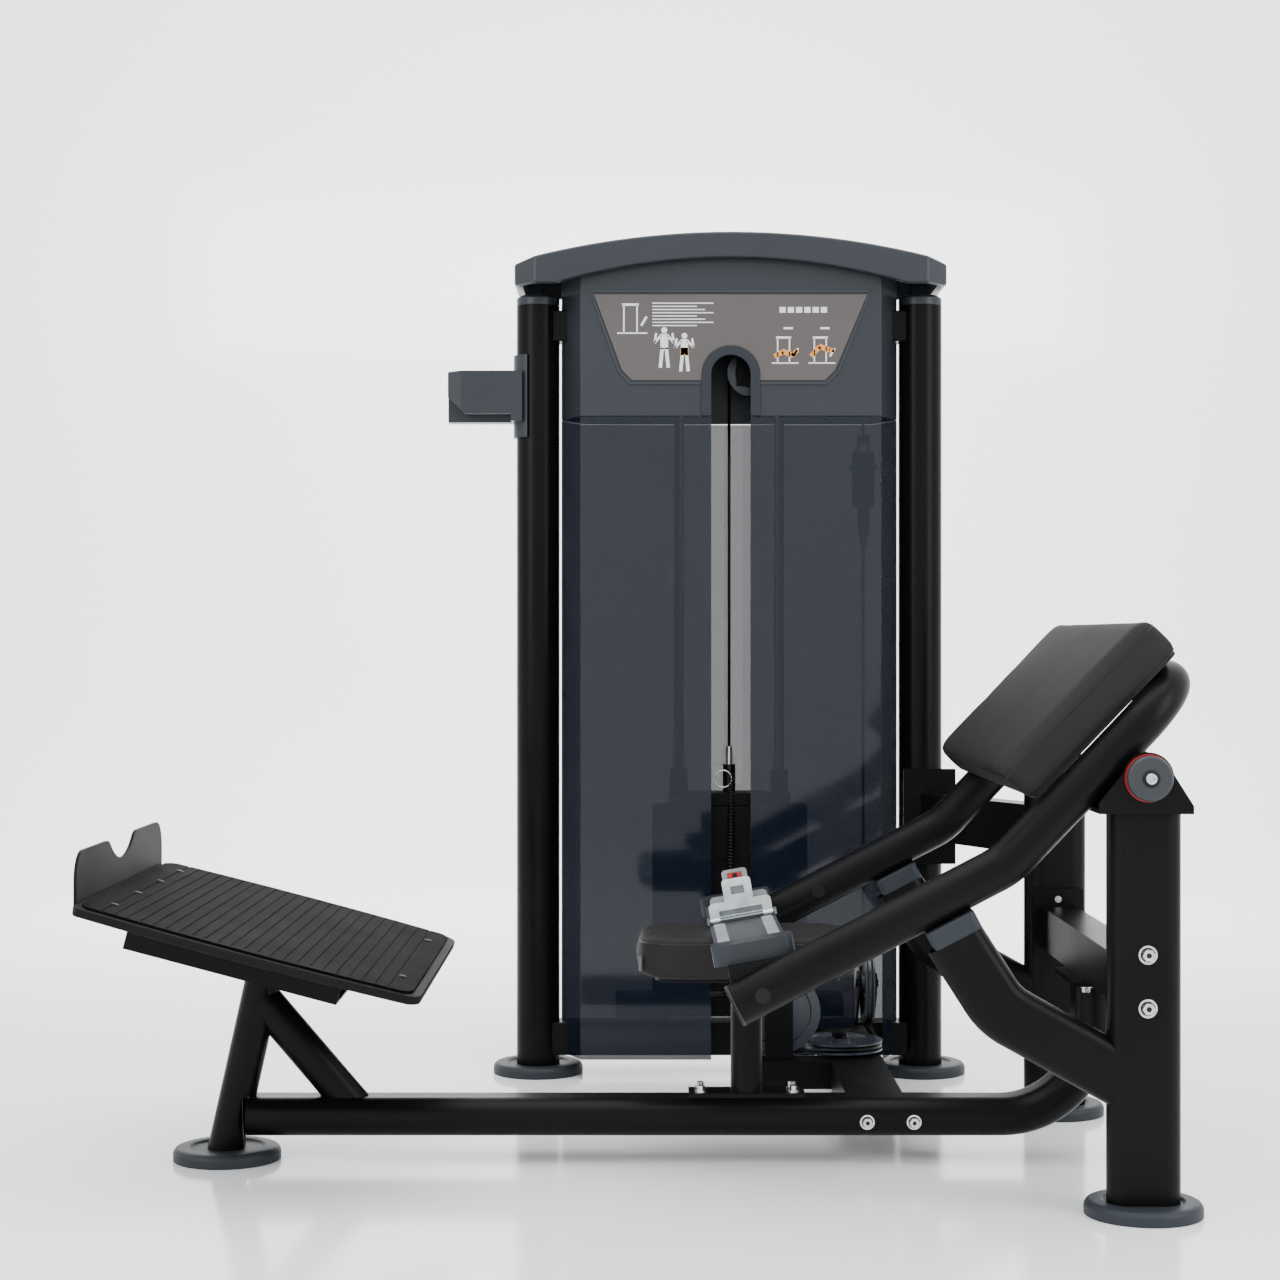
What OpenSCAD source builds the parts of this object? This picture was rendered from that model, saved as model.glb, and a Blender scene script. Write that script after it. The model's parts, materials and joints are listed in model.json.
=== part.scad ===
// Hip thrust machine: a low frame with a foot platform, a seat and a swinging padded arm with a
// hip belt, tied by a cable to a weight stack in a shrouded tower.
// X runs from the foot platform to the back pad, Y from the front post to the tower, Z up.

/* [Frame] */
// Distance of each side post from the frame's middle line
post_out = 378; // [374:1:384]
// Width of a side post, seen from the front
post_w = 110; // [106:1:114]
// Depth of a side post
post_d = 60; // [56:1:64]
// Height of the side posts' tops
post_top = 597; // [590:1:600]
// Wall thickness of the steel tubes
wall = 3; // [2.5:0.5:4]
// Diameter of a floor foot
foot_dia = 176; // [170:1:180]
// Height of a floor foot
foot_h = 22; // [20:1:26]

/* [Swinging arm] */
// Height of the pivot above the floor
pivot_z = 650; // [648:1:652]
// Outer diameter of the arm's tube
arm_dia = 65; // [62:1:66]
// Diameter of the pivot axles
axle_dia = 25; // [22:1:28]
// Thickness of the back pad's cushion
pad_t = 58; // [50:1:65]

/* [Foot platform and seat] */
// Downhill tilt of the platform
tilt = 14.85; // [14:0.05:16]
// Width of the platform across the machine
platform_w = 756; // [740:1:770]
// Number of grooves in the tread mat
grooves = 24; // [20:1:26]
// Length of the seat cushion
seat_l = 361; // [340:1:370]
// Width of the seat cushion
seat_w = 230; // [210:1:240]

/* [Tower] */
// Overall height of the machine
tower_h = 1640; // [1630:1:1650]
// Distance of the tower behind the frame's middle line
tower_back = 783; // [780:1:790]
// Diameter of the tower's uprights
upright_dia = 85; // [80:1:88]
// Depth of the tower's cap
cap_d = 240; // [220:1:260]
// Number of weight plates
plates = 17; // [15:1:18]
// Number of plates held by the selector pin
lifted = 8; // [1:1:12]
// Diameter of the guide rods
rod_dia = 19.5; // [19:0.5:20]

/* [Hidden] */
$fn = 64;
line_y = -218.5; // the frame's middle line
front_y = line_y - post_out;
rear_y = line_y + post_out;
tower_y = line_y + tower_back;
post_x = 758;
foot_seat = foot_h - 4; // floor of the recess in each foot

// The swinging arm: its end, its bend and its top, in the XZ plane
pivot = [757, pivot_z];
arm_end = [153, 310];
arm_bend = [555, 519.5];
arm_top = [813, 790];
arm_r = arm_dia / 2;
arm_out = post_out; // each arm tube swings between its own clevis plates
arm_low = atan2(arm_bend.y - arm_end.y, arm_bend.x - arm_end.x);
arm_high = atan2(arm_top.y - arm_bend.y, arm_top.x - arm_bend.x);
arm_rise = [cos(arm_high), sin(arm_high)];
top_bend = 95; // bend radius and height of the arm's top bow
bow_start = arm_top - 110 * arm_rise;
sleeve_r = 28;
fit = 0.05; // radial clearance of a running fit
board_t = 12;
pad_from = 90; // along the arm's upper stretch, from its bend
pad_l = 325;

// The low frame
base_z = 73.5;
base_h = 62;
base_w = 100;
base_x0 = -632;
base_x1 = 753;
beam_low = 303;
beam_h = 74;
beam_w = 62;
flange_t = 8;
post_bolts_z = [310, 389];
leg_foot = [-669, 25];
leg_head = [-606, 310];
leg_dia = 60;
link_x = 400;
link_w = 96;
link_low = 48;
link_h = 50;
link_bolts_x = [379, 455];
link_bolt_z = 70;
stub_x = 213;

// The platform, as seen along its own slope
platform_x = -582;
platform_z = 390;
platform_l = 546;
plate_t = 13;
mat_t = 4;
channel_h = 75;
channel_w = 200;
toe_x = -846;
toe_t = 5;

// The seat
seat_x = 185;
seat_z = 308;
seat_h = 68;

// The tower
tower_x = 186;
upright_out = 377;
upright_top = 1511;
beam_z = [38, 102];
top_beam_z = [1440, 1500];
fascia_low = 1287;
fascia_high = 1541;
panel_low = 40;
shell_front = 93;
shell_face = 291;
shell_side = 331;
shell_t = 4;
slot_w = 76;
slot_top = 1405;
cap_half = 420;
cap_edge = 42;
cap_roof = 9;
lip_half = 325; // the arched opening under the cap's front and back
lip_low = 1545;
lip_high = 1590;

// The stack
rod_out = 99;
rod_r = rod_dia / 2;
rod_foot = 125;
stack_z = 165;
pitch = 21.4;
plate_h = 21;
plate_w = 303;
plate_d = 90;
head_z = 530;
head_h = 23;
stem_r = 12.5;
pin_r = 5;
pin_z = stack_z + (plates - lifted + 0.5) * pitch;

// The cable's route
cable_r = 3;
top_r = 40; // to the cable's middle, on the two top pulleys
low_r = 75; // on the tower's lower pulley and the flat pulley
arm_pulley_r = 71;
drop_x = 451;
top_z = 1380;
floor_z = 112;
rise_x = 189;
anchor_z = 270;
pulley_half = 11;
pulley_axle_r = 8;
adjuster_z = [1041, 1258];

// The hip belt, in the slightly tilted frame of its own
belt_x = 180;
belt_z = 387;
belt_tilt = -10;
belt_w = 110;
belt_t = 5;
belt_top = 4;

// ---- shapes ----

// A flat oval: a stadium, or a circle where both sizes agree.
module flat_oval(w, d) {
  if (w > d) {
    square([w - d, d], center = true);
    for (s = [-1, 1]) translate([s * (w - d) / 2, 0]) circle(d = d);
  } else if (d > w) {
    square([w, d - w], center = true);
    for (s = [-1, 1]) translate([0, s * (d - w) / 2]) circle(d = w);
  } else {
    circle(d = w);
  }
}

// A rectangle with round corners.
module round_rect(w, d, r) {
  square([w - 2 * r, d], center = true);
  square([w, d - 2 * r], center = true);
  for (x = [-1, 1], y = [-1, 1]) translate([x * (w / 2 - r), y * (d / 2 - r)]) circle(r);
}

// A rectangle with its corners cut off.
module cut_corners(w, d, c) {
  x = w / 2;
  y = d / 2;
  polygon([[-x + c, -y], [x - c, -y], [x, -y + c], [x, y - c], [x - c, y], [-x + c, y],
           [-x, y - c], [-x, -y + c]]);
}

function heading(a, b) = atan2(b.y - a.y, b.x - a.x);
function unit(a, b) = (b - a) / norm(b - a);
function half_turn(a) = a > 180 ? a - 360 : a < -180 ? a + 360 : a;
function turn(p, i) = half_turn(heading(p[i], p[i + 1]) - heading(p[i - 1], p[i]));
function inset(p, i, r) = i == 0 || i == len(p) - 1 ? 0 : r * tan(abs(turn(p, i)) / 2);

// A straight stretch of flat oval bar between two points of the XZ plane.
module straight(a, b, w, d) {
  translate([a.x, 0, a.y]) rotate([0, 90 - heading(a, b), 0])
    linear_extrude(norm(b - a)) flat_oval(w, d);
}

// The bend at corner i of a route in the XZ plane. A slanting one is a hair fatter than the
// straight stretches and reaches a little past them, so that they join.
module elbow(p, i, r, w, d) {
  t = turn(p, i);
  square_turn = abs(t) > 89.9 && abs(t) < 90.1;
  hair = square_turn ? 0 : 0.4;
  past = square_turn ? 0 : 1.5;
  h = heading(p[i - 1], p[i]);
  side = t > 0 ? 1 : -1;
  from = p[i] - inset(p, i, r) * unit(p[i - 1], p[i]);
  centre = from + side * r * [-sin(h), cos(h)];
  begin = t > 0 ? h - 90 : h + t + 90;
  translate([centre.x, 0, centre.y]) rotate([90, 0, 0]) rotate([0, 0, begin - past])
    rotate_extrude(angle = abs(t) + 2 * past) translate([r, 0]) flat_oval(w + hair, d + hair);
}

// A flat oval bar along a route with bends of radius r. A round one has w equal to d.
module swept(p, r, w, d) {
  for (i = [0 : len(p) - 2]) {
    u = unit(p[i], p[i + 1]);
    straight(p[i] + inset(p, i, r) * u, p[i + 1] - inset(p, i + 1, r) * u, w, d);
  }
  for (i = [1 : 1 : len(p) - 2]) elbow(p, i, r, w, d);
}

// A bent steel tube with open ends.
module bent_tube(p, r, w, d) {
  difference() {
    swept(p, r, w, d);
    swept(p, r, w - 2 * wall, d - 2 * wall);
  }
}

// A solid or hollow column along Z.
module oval_column(w, d, from, to) {
  translate([0, 0, from]) linear_extrude(to - from) flat_oval(w, d);
}

// A cylinder along Y, from one place to another.
module rod_y(x, z, r, from, to) {
  translate([x, from, z]) rotate([-90, 0, 0]) cylinder(r = r, h = to - from);
}

// A cylinder along X.
module rod_x(y, z, r, from, to) {
  translate([from, y, z]) rotate([0, 90, 0]) cylinder(r = r, h = to - from);
}

// A plate in the YZ or XZ plane is drawn flat and turned: this stands an outline up across Y.
module stand_xz(y, t) {
  translate([0, y + t, 0]) rotate([90, 0, 0]) linear_extrude(t) children();
}

// This stands an outline of Y and Z up across X.
module stand_yz(x, t) {
  translate([x, 0, 0]) rotate([90, 0, 90]) linear_extrude(t) children();
}

// ---- the low frame ----

module leg_solid(d) {
  u = unit(leg_foot, leg_head);
  translate([0, line_y, 0]) straight(leg_foot - 40 * u, leg_head + 60 * u, d, d);
}

module brace_solid(d) {
  translate([0, line_y, 0]) straight([-616, 269], [-450, 75], d, d);
}

// Places its children on the platform: X runs downhill, Z is square to the tread.
module on_platform() {
  translate([platform_x, line_y, platform_z]) rotate([0, tilt, 0]) children();
}

module base_solid(less) {
  route = [[base_x0, base_z], [base_x1, base_z], [base_x1, beam_low - flange_t]];
  translate([0, line_y, 0]) swept(route, 150, base_h - 2 * less, base_w - 2 * less);
}

module base_tube() {
  color("#17181a") {
    difference() {
      base_solid(0);
      base_solid(wall);
      leg_solid(leg_dia);
      for (x = link_bolts_x) rod_y(x, link_bolt_z, 6, line_y - 60, line_y + 60);
      for (x = [-76, 76], y = [-18, 18])
        translate([seat_x + x, line_y + y, base_z]) cylinder(r = 6, h = base_h);
    }
    difference() {
      translate([base_x1 - 45, line_y - 90, beam_low - flange_t]) cube([90, 180, flange_t]);
      for (x = [-22, 22], y = [-70, 70])
        translate([base_x1 + x, line_y + y, beam_low - flange_t - 1])
          cylinder(r = 6, h = flange_t + 2);
    }
  }
}

module left_leg() {
  color("#17181a") difference() {
    union() {
      leg_solid(leg_dia);
      brace_solid(leg_dia);
    }
    leg_solid(leg_dia - 2 * wall);
    brace_solid(leg_dia - 2 * wall);
    translate([-800, line_y - 100, foot_seat - 100]) cube([300, 200, 100]);
    translate([-640, line_y - 100, base_z - base_h]) cube([300, 200, 1.5 * base_h]);
    on_platform() translate([-400, -150, -mat_t - plate_t - channel_h]) cube([800, 300, 200]);
  }
}

module platform_channel() {
  color("#17181a") on_platform() translate([-222, 0, -mat_t - plate_t - channel_h]) difference() {
    translate([0, -channel_w / 2, 0]) cube([355, channel_w, channel_h]);
    translate([-1, -channel_w / 2 + 4, 4]) cube([357, channel_w - 8, channel_h - 8]);
  }
}

// The platform's outline, with its two side edges bulging a little.
module platform_outline(less) {
  bulge_r = 1700;
  intersection() {
    round_rect(platform_l - 2 * less, platform_w - 2 * less, 60 - less / 2);
    translate([0, platform_w / 2 - less - bulge_r]) circle(bulge_r, $fn = 512);
    translate([0, bulge_r - platform_w / 2 + less]) circle(bulge_r, $fn = 512);
  }
}

module footplate() {
  color("#2b2d30") difference() {
    on_platform() translate([0, 0, -mat_t - plate_t]) linear_extrude(plate_t) platform_outline(0);
    translate([toe_x + toe_t - 200, line_y - 500, 0]) cube([200, 1000, 800]);
  }
}

module tread_mat() {
  groove_pitch = (platform_l - 60) / grooves;
  color("#121214") on_platform() difference() {
    translate([0, 0, -mat_t]) linear_extrude(mat_t) platform_outline(14);
    for (i = [1 : grooves - 1])
      translate([-platform_l / 2 + 30 + i * groove_pitch - 1.5, -350, -1.2]) cube([3, 700, 2]);
  }
}

module toe_plate() {
  low = 440;
  high = 532;
  ear_r = 48;
  notch_r = 150;
  notch_z = 646;
  drop = notch_z - high + ear_r;
  shoulder = sqrt(pow(notch_r + ear_r, 2) - pow(drop, 2));
  color("#2b2d30") stand_yz(toe_x, toe_t) translate([line_y, 0]) difference() {
    union() {
      translate([0, (low + high) / 2]) round_rect(640, high - low, 45);
      translate([-320, low]) square([640, 50]);
    }
    translate([0, notch_z]) circle(notch_r);
    difference() {
      translate([-shoulder, notch_z - notch_r * drop / (notch_r + ear_r) + 1])
        square([2 * shoulder, ear_r]);
      for (s = [-1, 1]) translate([s * shoulder, high - ear_r]) circle(ear_r);
    }
  }
}

module seat_post() {
  base_top = base_z + base_h / 2;
  color("#17181a") {
    difference() {
      translate([seat_x - 95, line_y - 30, base_top]) cube([190, 60, flange_t]);
      for (x = [-76, 76], y = [-18, 18])
        translate([seat_x + x, line_y + y, base_top - 1]) cylinder(r = 6, h = flange_t + 2);
    }
    difference() {
      translate([seat_x, line_y, base_top + flange_t])
        cylinder(d = 52, h = seat_z - 6 - base_top - flange_t);
      translate([seat_x, line_y, base_top + flange_t])
        cylinder(d = 52 - 2 * wall, h = seat_z - 6 - base_top - flange_t);
    }
    translate([seat_x, line_y, seat_z - 6]) linear_extrude(6) round_rect(300, 180, 40);
  }
}

module seat_cushion() {
  color("#2f2e2e") translate([seat_x, line_y, seat_z]) linear_extrude(seat_h)
    round_rect(seat_l, seat_w, 70);
}

module side_post(y) {
  color("#141517") difference() {
    translate([post_x, y, 0]) oval_column(post_w, post_d, foot_seat, post_top);
    translate([post_x, y, 0]) oval_column(post_w - 2 * wall, post_d - 2 * wall, 0, post_top + 1);
    for (z = post_bolts_z) rod_y(post_x, z, 6, y - 40, y + 40);
  }
}

module front_post() {
  side_post(front_y);
}

module rear_post() {
  side_post(rear_y);
}

module crossbeam() {
  reach = post_out - post_d / 2;
  color("#17181a") difference() {
    union() {
      translate([post_x - beam_w / 2, line_y - reach, beam_low])
        cube([beam_w, 2 * reach, beam_h]);
      for (y = [line_y - reach, line_y + reach - flange_t])
        translate([post_x - 45, y, 290]) cube([90, flange_t, 118]);
    }
    translate([post_x - beam_w / 2 + wall, line_y - reach + flange_t, beam_low + wall])
      cube([beam_w - 2 * wall, 2 * reach - 2 * flange_t, beam_h - 2 * wall]);
    for (z = post_bolts_z) rod_y(post_x, z, 6, line_y - reach - 1, line_y + reach + 1);
  }
}

clevis_in = 36;
clevis_t = 6;

module clevis_outline() {
  difference() {
    union() {
      translate(pivot) circle(38);
      polygon([[684, post_top], [824, post_top], [824, post_top + 12], [793, pivot.y + 8],
               [720, pivot.y + 8], [684, post_top + 16]]);
    }
    translate(pivot) circle(axle_dia / 2);
  }
}

module pivot_clevises() {
  color("#141517") for (y = [front_y, rear_y]) {
    translate([684, y - clevis_in - clevis_t, post_top])
      cube([140, 2 * (clevis_in + clevis_t), flange_t]);
    for (s = [-clevis_in - clevis_t, clevis_in]) stand_xz(y + s, clevis_t) clevis_outline();
  }
}

module pivot_axles() {
  color("#8c8f92") for (y = [front_y, rear_y])
    rod_y(pivot.x, pivot.y, axle_dia / 2, y - 54, y + 54);
}

module pivot_caps() {
  color("#5c6166") for (y = [front_y, rear_y], s = [-1, 1])
    translate([pivot.x, y + s * 45, pivot.y]) rotate([-90 * s, 0, 0]) difference() {
      rotate_extrude() polygon([[0, 0], [34, 0], [34, 11], [31, 15], [0, 15]]);
      translate([0, 0, -1]) cylinder(d = axle_dia, h = 10);
    }
}

// The space taken by an arm tube and all above it, for cutting what it rests on.
module above_arm(y, depth) {
  translate([arm_end.x, y - 60, arm_end.y]) rotate([0, -arm_low, 0])
    translate([0, 0, -depth]) cube([600, 120, 400]);
}

stop_gap = 0.3;
stop_t = 30;

module stop_arms() {
  route = [[740, 195], [545, 303], [462, 432]];
  color("#141517") for (y = [front_y, rear_y]) difference() {
    translate([0, y, 0]) bent_tube(route, 100, 90, 50);
    translate([post_x, y, 0]) oval_column(post_w, post_d, 0, post_top);
    above_arm(y, arm_r + stop_gap + stop_t);
  }
}

module rubber_stops() {
  color("#42484f") {
    for (y = [front_y, rear_y])
      translate([arm_end.x, y, arm_end.y]) rotate([0, -arm_low, 0])
        translate([338, 0, -arm_r - stop_gap - stop_t]) linear_extrude(stop_t)
          round_rect(78, 56, 10);
    for (s = [-1, 1]) translate([tower_x + s * rod_out, tower_y, stack_z - 10]) difference() {
      cylinder(r = 24, h = 10);
      translate([0, 0, -1]) cylinder(r = rod_r, h = 12);
    }
  }
}

// A flange bolt with its head outwards: the shank starts at the head's underside.
module bolt(length, head_r) {
  washer_t = 3;
  hex_h = 8;
  shank_r = 6;
  cylinder(r = head_r, h = washer_t);
  translate([0, 0, washer_t]) cylinder(r = head_r * 0.68, h = hex_h, $fn = 6);
  translate([0, 0, -length]) cylinder(r = shank_r, h = length);
}

module frame_bolts() {
  face = post_d / 2;
  beam_top = beam_low + beam_h;
  seat_plate = base_z + base_h / 2 + flange_t;
  color("silver") {
    for (z = post_bolts_z) {
      translate([post_x, front_y - face, z]) rotate([90, 0, 0]) bolt(post_d + flange_t, 14);
      translate([post_x, rear_y + face, z]) rotate([-90, 0, 0]) bolt(post_d + flange_t, 14);
    }
    for (x = link_bolts_x)
      translate([x, line_y - base_w / 2, link_bolt_z]) rotate([90, 0, 0])
        bolt(base_w + flange_t, 12);
    for (x = [-76, 76], y = [-18, 18])
      translate([seat_x + x, line_y + y, seat_plate]) bolt(flange_t + wall, 9);
    for (x = [-22, 22], y = [-70, 70])
      translate([base_x1 + x, line_y + y, beam_low - flange_t]) rotate([180, 0, 0])
        bolt(flange_t, 10);
  }
}

module foot(x, y) {
  r = foot_dia / 2;
  color("#434a52") translate([x, y, 0]) rotate_extrude($fn = 96)
    polygon([[0, 0], [r, 0], [r, foot_h - 8], [r - 4, foot_h - 2], [r - 10, foot_h],
             [62, foot_h], [58, foot_seat], [0, foot_seat]]);
}

module feet() {
  foot(leg_foot.x, line_y);
  foot(post_x, front_y);
  foot(post_x, rear_y);
  foot(tower_x - upright_out, tower_y);
  foot(tower_x + upright_out, tower_y);
}

// ---- the tower ----

module upright_space(less) {
  for (s = [-1, 1]) translate([tower_x + s * upright_out, tower_y, foot_seat])
    cylinder(d = upright_dia - 2 * less, h = upright_top - foot_seat);
}

module tower_uprights() {
  color("#121314") difference() {
    upright_space(0);
    upright_space(wall);
  }
}

module upright_caps() {
  color("#4a525a") for (s = [-1, 1]) translate([tower_x + s * upright_out, tower_y, upright_top])
    rotate_extrude() polygon([[0, 0], [upright_dia / 2, 0], [upright_dia / 2, 15],
                              [upright_dia / 2 - 6, 20], [0, 20]]);
}

// A box beam between the uprights.
module tower_beam(z, half, grow) {
  difference() {
    translate([tower_x - upright_out, tower_y - half - grow, z[0] - grow])
      cube([2 * upright_out, 2 * (half + grow), z[1] - z[0] + 2 * grow]);
    upright_space(0);
  }
}

module hollow_beam(z, half) {
  difference() {
    tower_beam(z, half, 0);
    translate([tower_x - upright_out, tower_y - half + wall, z[0] + wall])
      cube([2 * upright_out, 2 * (half - wall), z[1] - z[0] - 2 * wall]);
  }
}

module tower_base_beam() {
  color("#17181a") hollow_beam(beam_z, 32);
}

module tower_top_beam() {
  color("#17181a") hollow_beam(top_beam_z, 30);
}

module tower_brace() {
  brace_z = 508;
  plate_y = tower_y - upright_dia / 2 - 6;
  start = [post_x, rear_y + post_d / 2 - 20];
  finish = [tower_x + upright_out, tower_y];
  color("#17181a") {
    difference() {
      translate([start.x, start.y, brace_z]) rotate([0, 0, heading(start, finish)]) difference() {
        translate([0, -25, -45]) cube([430, 50, 90]);
        translate([-1, -25 + wall, -45 + wall]) cube([432, 50 - 2 * wall, 90 - 2 * wall]);
      }
      translate([post_x, rear_y, 0]) oval_column(post_w, post_d, 0, post_top);
      translate([400, plate_y, 400]) cube([400, 200, 300]);
    }
    difference() {
      translate([525, plate_y, 415]) cube([102, 6, 186]);
      translate([584 - 20, plate_y - 1, 470]) cube([28, 8, 76]);
    }
  }
}

module link_solid(less) {
  translate([link_x - link_w / 2 + less, line_y + base_w / 2 + flange_t, link_low + less])
    cube([link_w - 2 * less, tower_back - 32 - base_w / 2 - flange_t, link_h - 2 * less]);
  translate([stub_x + less, rear_y - 30 + less, link_low + less])
    cube([link_x - stub_x, 60 - 2 * less, link_h - 2 * less]);
}

module base_link() {
  color("#17181a") difference() {
    union() {
      link_solid(0);
      translate([link_x - 50, line_y + base_w / 2, link_low]) cube([135, flange_t, link_h]);
    }
    link_solid(wall);
    for (x = link_bolts_x) rod_y(x, link_bolt_z, 6, line_y + base_w / 2 - 1, line_y + 70);
  }
}

// The right-hand rod ends under the cable, in a block between the pulley brackets.
module guide_rods() {
  tops = [top_beam_z[0], top_z + 30];
  color("#9aa0a6") for (i = [0, 1])
    translate([tower_x + (2 * i - 1) * rod_out, tower_y, rod_foot])
      cylinder(r = rod_r, h = tops[i] - rod_foot);
}

module stack_base() {
  color("#17181a") difference() {
    union() {
      translate([tower_x - 223, tower_y - 40, 116]) cube([446, 80, 39]);
      for (s = [-1, 1]) translate([tower_x + s * 150 - 30, tower_y - 30, beam_z[1]])
        cube([60, 60, 14]);
    }
    for (s = [-1, 1]) translate([tower_x + s * rod_out, tower_y, rod_foot])
      cylinder(r = rod_r, h = 40);
    translate([tower_x, tower_y, rod_foot]) cylinder(r = stem_r + 2, h = 40);
  }
}

// Weight plates from number first to last, counted from the floor up.
module weight_plates(first, last) {
  for (i = [first : last]) translate([tower_x, tower_y, stack_z + i * pitch]) difference() {
    translate([-plate_w / 2, -plate_d / 2, 0]) cube([plate_w, plate_d, plate_h]);
    for (s = [-1, 1]) translate([s * rod_out, 0, -1]) cylinder(r = rod_r + 1.5, h = plate_h + 2);
    translate([0, 0, -1]) cylinder(r = stem_r + 1, h = plate_h + 2);
    rod_y(0, pitch / 2, pin_r + 0.08, -plate_d, 0);
  }
}

module resting_plates() {
  color("#1b1c1e") weight_plates(0, plates - lifted - 1);
}

module lifted_plates() {
  color("#1b1c1e") weight_plates(plates - lifted, plates - 1);
}

module head_plate() {
  color("#1b1c1e") difference() {
    union() {
      translate([tower_x - 118, tower_y - plate_d / 2, head_z]) cube([236, plate_d, head_h]);
      for (s = [-1, 1]) translate([tower_x + s * rod_out, tower_y, head_z + head_h])
        cylinder(r = 17.5, h = 45);
    }
    for (s = [-1, 1]) translate([tower_x + s * rod_out, tower_y, head_z - 1])
      cylinder(r = rod_r + fit, h = 80);
    translate([tower_x, tower_y, head_z - 1]) cylinder(r = stem_r, h = head_h + 2);
  }
}

module selector_stem() {
  color("silver") {
    difference() {
      translate([tower_x, tower_y, stack_z + 8]) cylinder(r = stem_r, h = 608 - stack_z - 8);
      for (i = [1 : plates - 1])
        rod_y(tower_x, stack_z + (i + 0.5) * pitch, pin_r + 0.08, tower_y - 20, tower_y + 20);
    }
    translate([tower_x, tower_y, 608]) cylinder(r = 7, h = 35);
  }
}

module selector_pin() {
  color("#151515") {
    rod_y(tower_x, pin_z, pin_r, tower_y - plate_d / 2 - 1, tower_y + 12);
    translate([tower_x, tower_y - plate_d / 2 - 1, pin_z]) rotate([90, 0, 0])
      rotate_extrude() polygon([[0, 0], [9, 0], [9, 8], [13, 14], [13, 26], [10, 30], [0, 30]]);
  }
}

// The cap's arch as an outline of X and Z, made smaller all round by less.
module cap_arch(less) {
  rise = tower_h - (fascia_high + cap_edge);
  arch_r = (cap_half * cap_half + rise * rise) / (2 * rise);
  intersection() {
    translate([tower_x - cap_half + less, fascia_high - 1])
      square([2 * (cap_half - less), tower_h]);
    translate([tower_x, tower_h - arch_r]) circle(arch_r - less, $fn = 360);
  }
}

// The opening under the cap's front and back lips: everything below a flat arc.
module lip_arch() {
  rise = lip_high - lip_low;
  lip_r = (lip_half * lip_half + rise * rise) / (2 * rise);
  translate([tower_x, lip_high - lip_r]) circle(lip_r, $fn = 360);
}

module shroud_cap() {
  depth = cap_d / 2;
  skirt = 14;
  color("#434a52") difference() {
    intersection() {
      stand_xz(tower_y - depth, cap_d) cap_arch(0);
      translate([tower_x, tower_y, fascia_high]) linear_extrude(200)
        cut_corners(2 * cap_half, cap_d, 40);
    }
    intersection() {
      stand_xz(tower_y - depth + skirt, cap_d - 2 * skirt) cap_arch(cap_roof);
      translate([tower_x, tower_y, fascia_high - 1]) linear_extrude(200)
        cut_corners(2 * cap_half - 30, cap_d - 2 * skirt, 34);
    }
    stand_xz(tower_y - depth - 1, cap_d + 2) lip_arch();
  }
}

// One wall of the shroud, seen from above: a flat face with two slanting sides.
module shell_outline(s) {
  polygon([for (p = [[-shell_side, 5], [-shell_face, shell_front], [shell_face, shell_front],
                     [shell_side, 5], [shell_side - shell_t * 1.1, 5],
                     [shell_face - shell_t * 0.7, shell_front - shell_t],
                     [-shell_face + shell_t * 0.7, shell_front - shell_t],
                     [-shell_side + shell_t * 1.1, 5]]) [p.x, s * p.y]]);
}

// The access slot's outline with a round head, grown by more.
module slot_outline(more) {
  r = slot_w / 2 + more;
  translate([tower_x - r, 0]) square([2 * r, slot_top + more - r]);
  translate([tower_x, slot_top + more - r]) circle(r);
}

module fascia() {
  color("#434a52") difference() {
    intersection() {
      translate([tower_x, tower_y, fascia_low]) linear_extrude(tower_h - fascia_low)
        for (s = [-1, 1]) shell_outline(s);
      stand_xz(tower_y - cap_d / 2, cap_d) {
        cap_arch(cap_roof + 0.3);
        translate([tower_x - cap_half, fascia_low - 1])
          square([2 * cap_half, fascia_high - fascia_low + 1]);
      }
    }
    stand_xz(tower_y - shell_front - 5, 20) slot_outline(0);
    tower_beam(top_beam_z, 30, 1);
  }
}

module placard() {
  color("#78726f") stand_xz(tower_y - shell_front - 2, 2) difference() {
    polygon([[-79, 1522], [450, 1522], [388, 1376], [368, 1356], [-6, 1356], [-25, 1376]]);
    slot_outline(18.5);
  }
}

module slot_trim() {
  color("#22262a") stand_xz(tower_y - shell_front - 6, 6) difference() {
    slot_outline(18);
    slot_outline(0);
    translate([tower_x - 100, 0]) square([200, fascia_low]);
  }
}

module clear_shields() {
  color([0.2, 0.22, 0.28, 0.6]) difference() {
    translate([tower_x, tower_y, panel_low]) linear_extrude(fascia_low - panel_low - 1)
      for (s = [-1, 1]) shell_outline(s);
    translate([tower_x - slot_w / 2, tower_y - 200, 0]) cube([slot_w, 200, tower_h]);
    translate([link_x - link_w / 2 - 2, tower_y - 200, link_low - 2])
      cube([link_w + 4, 150, link_h + 4]);
    translate([drop_x - 26, tower_y - 200, 0]) cube([55, 150, floor_z + 2 * low_r + 20]);
    tower_beam(beam_z, 32, 1);
  }
}

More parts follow.
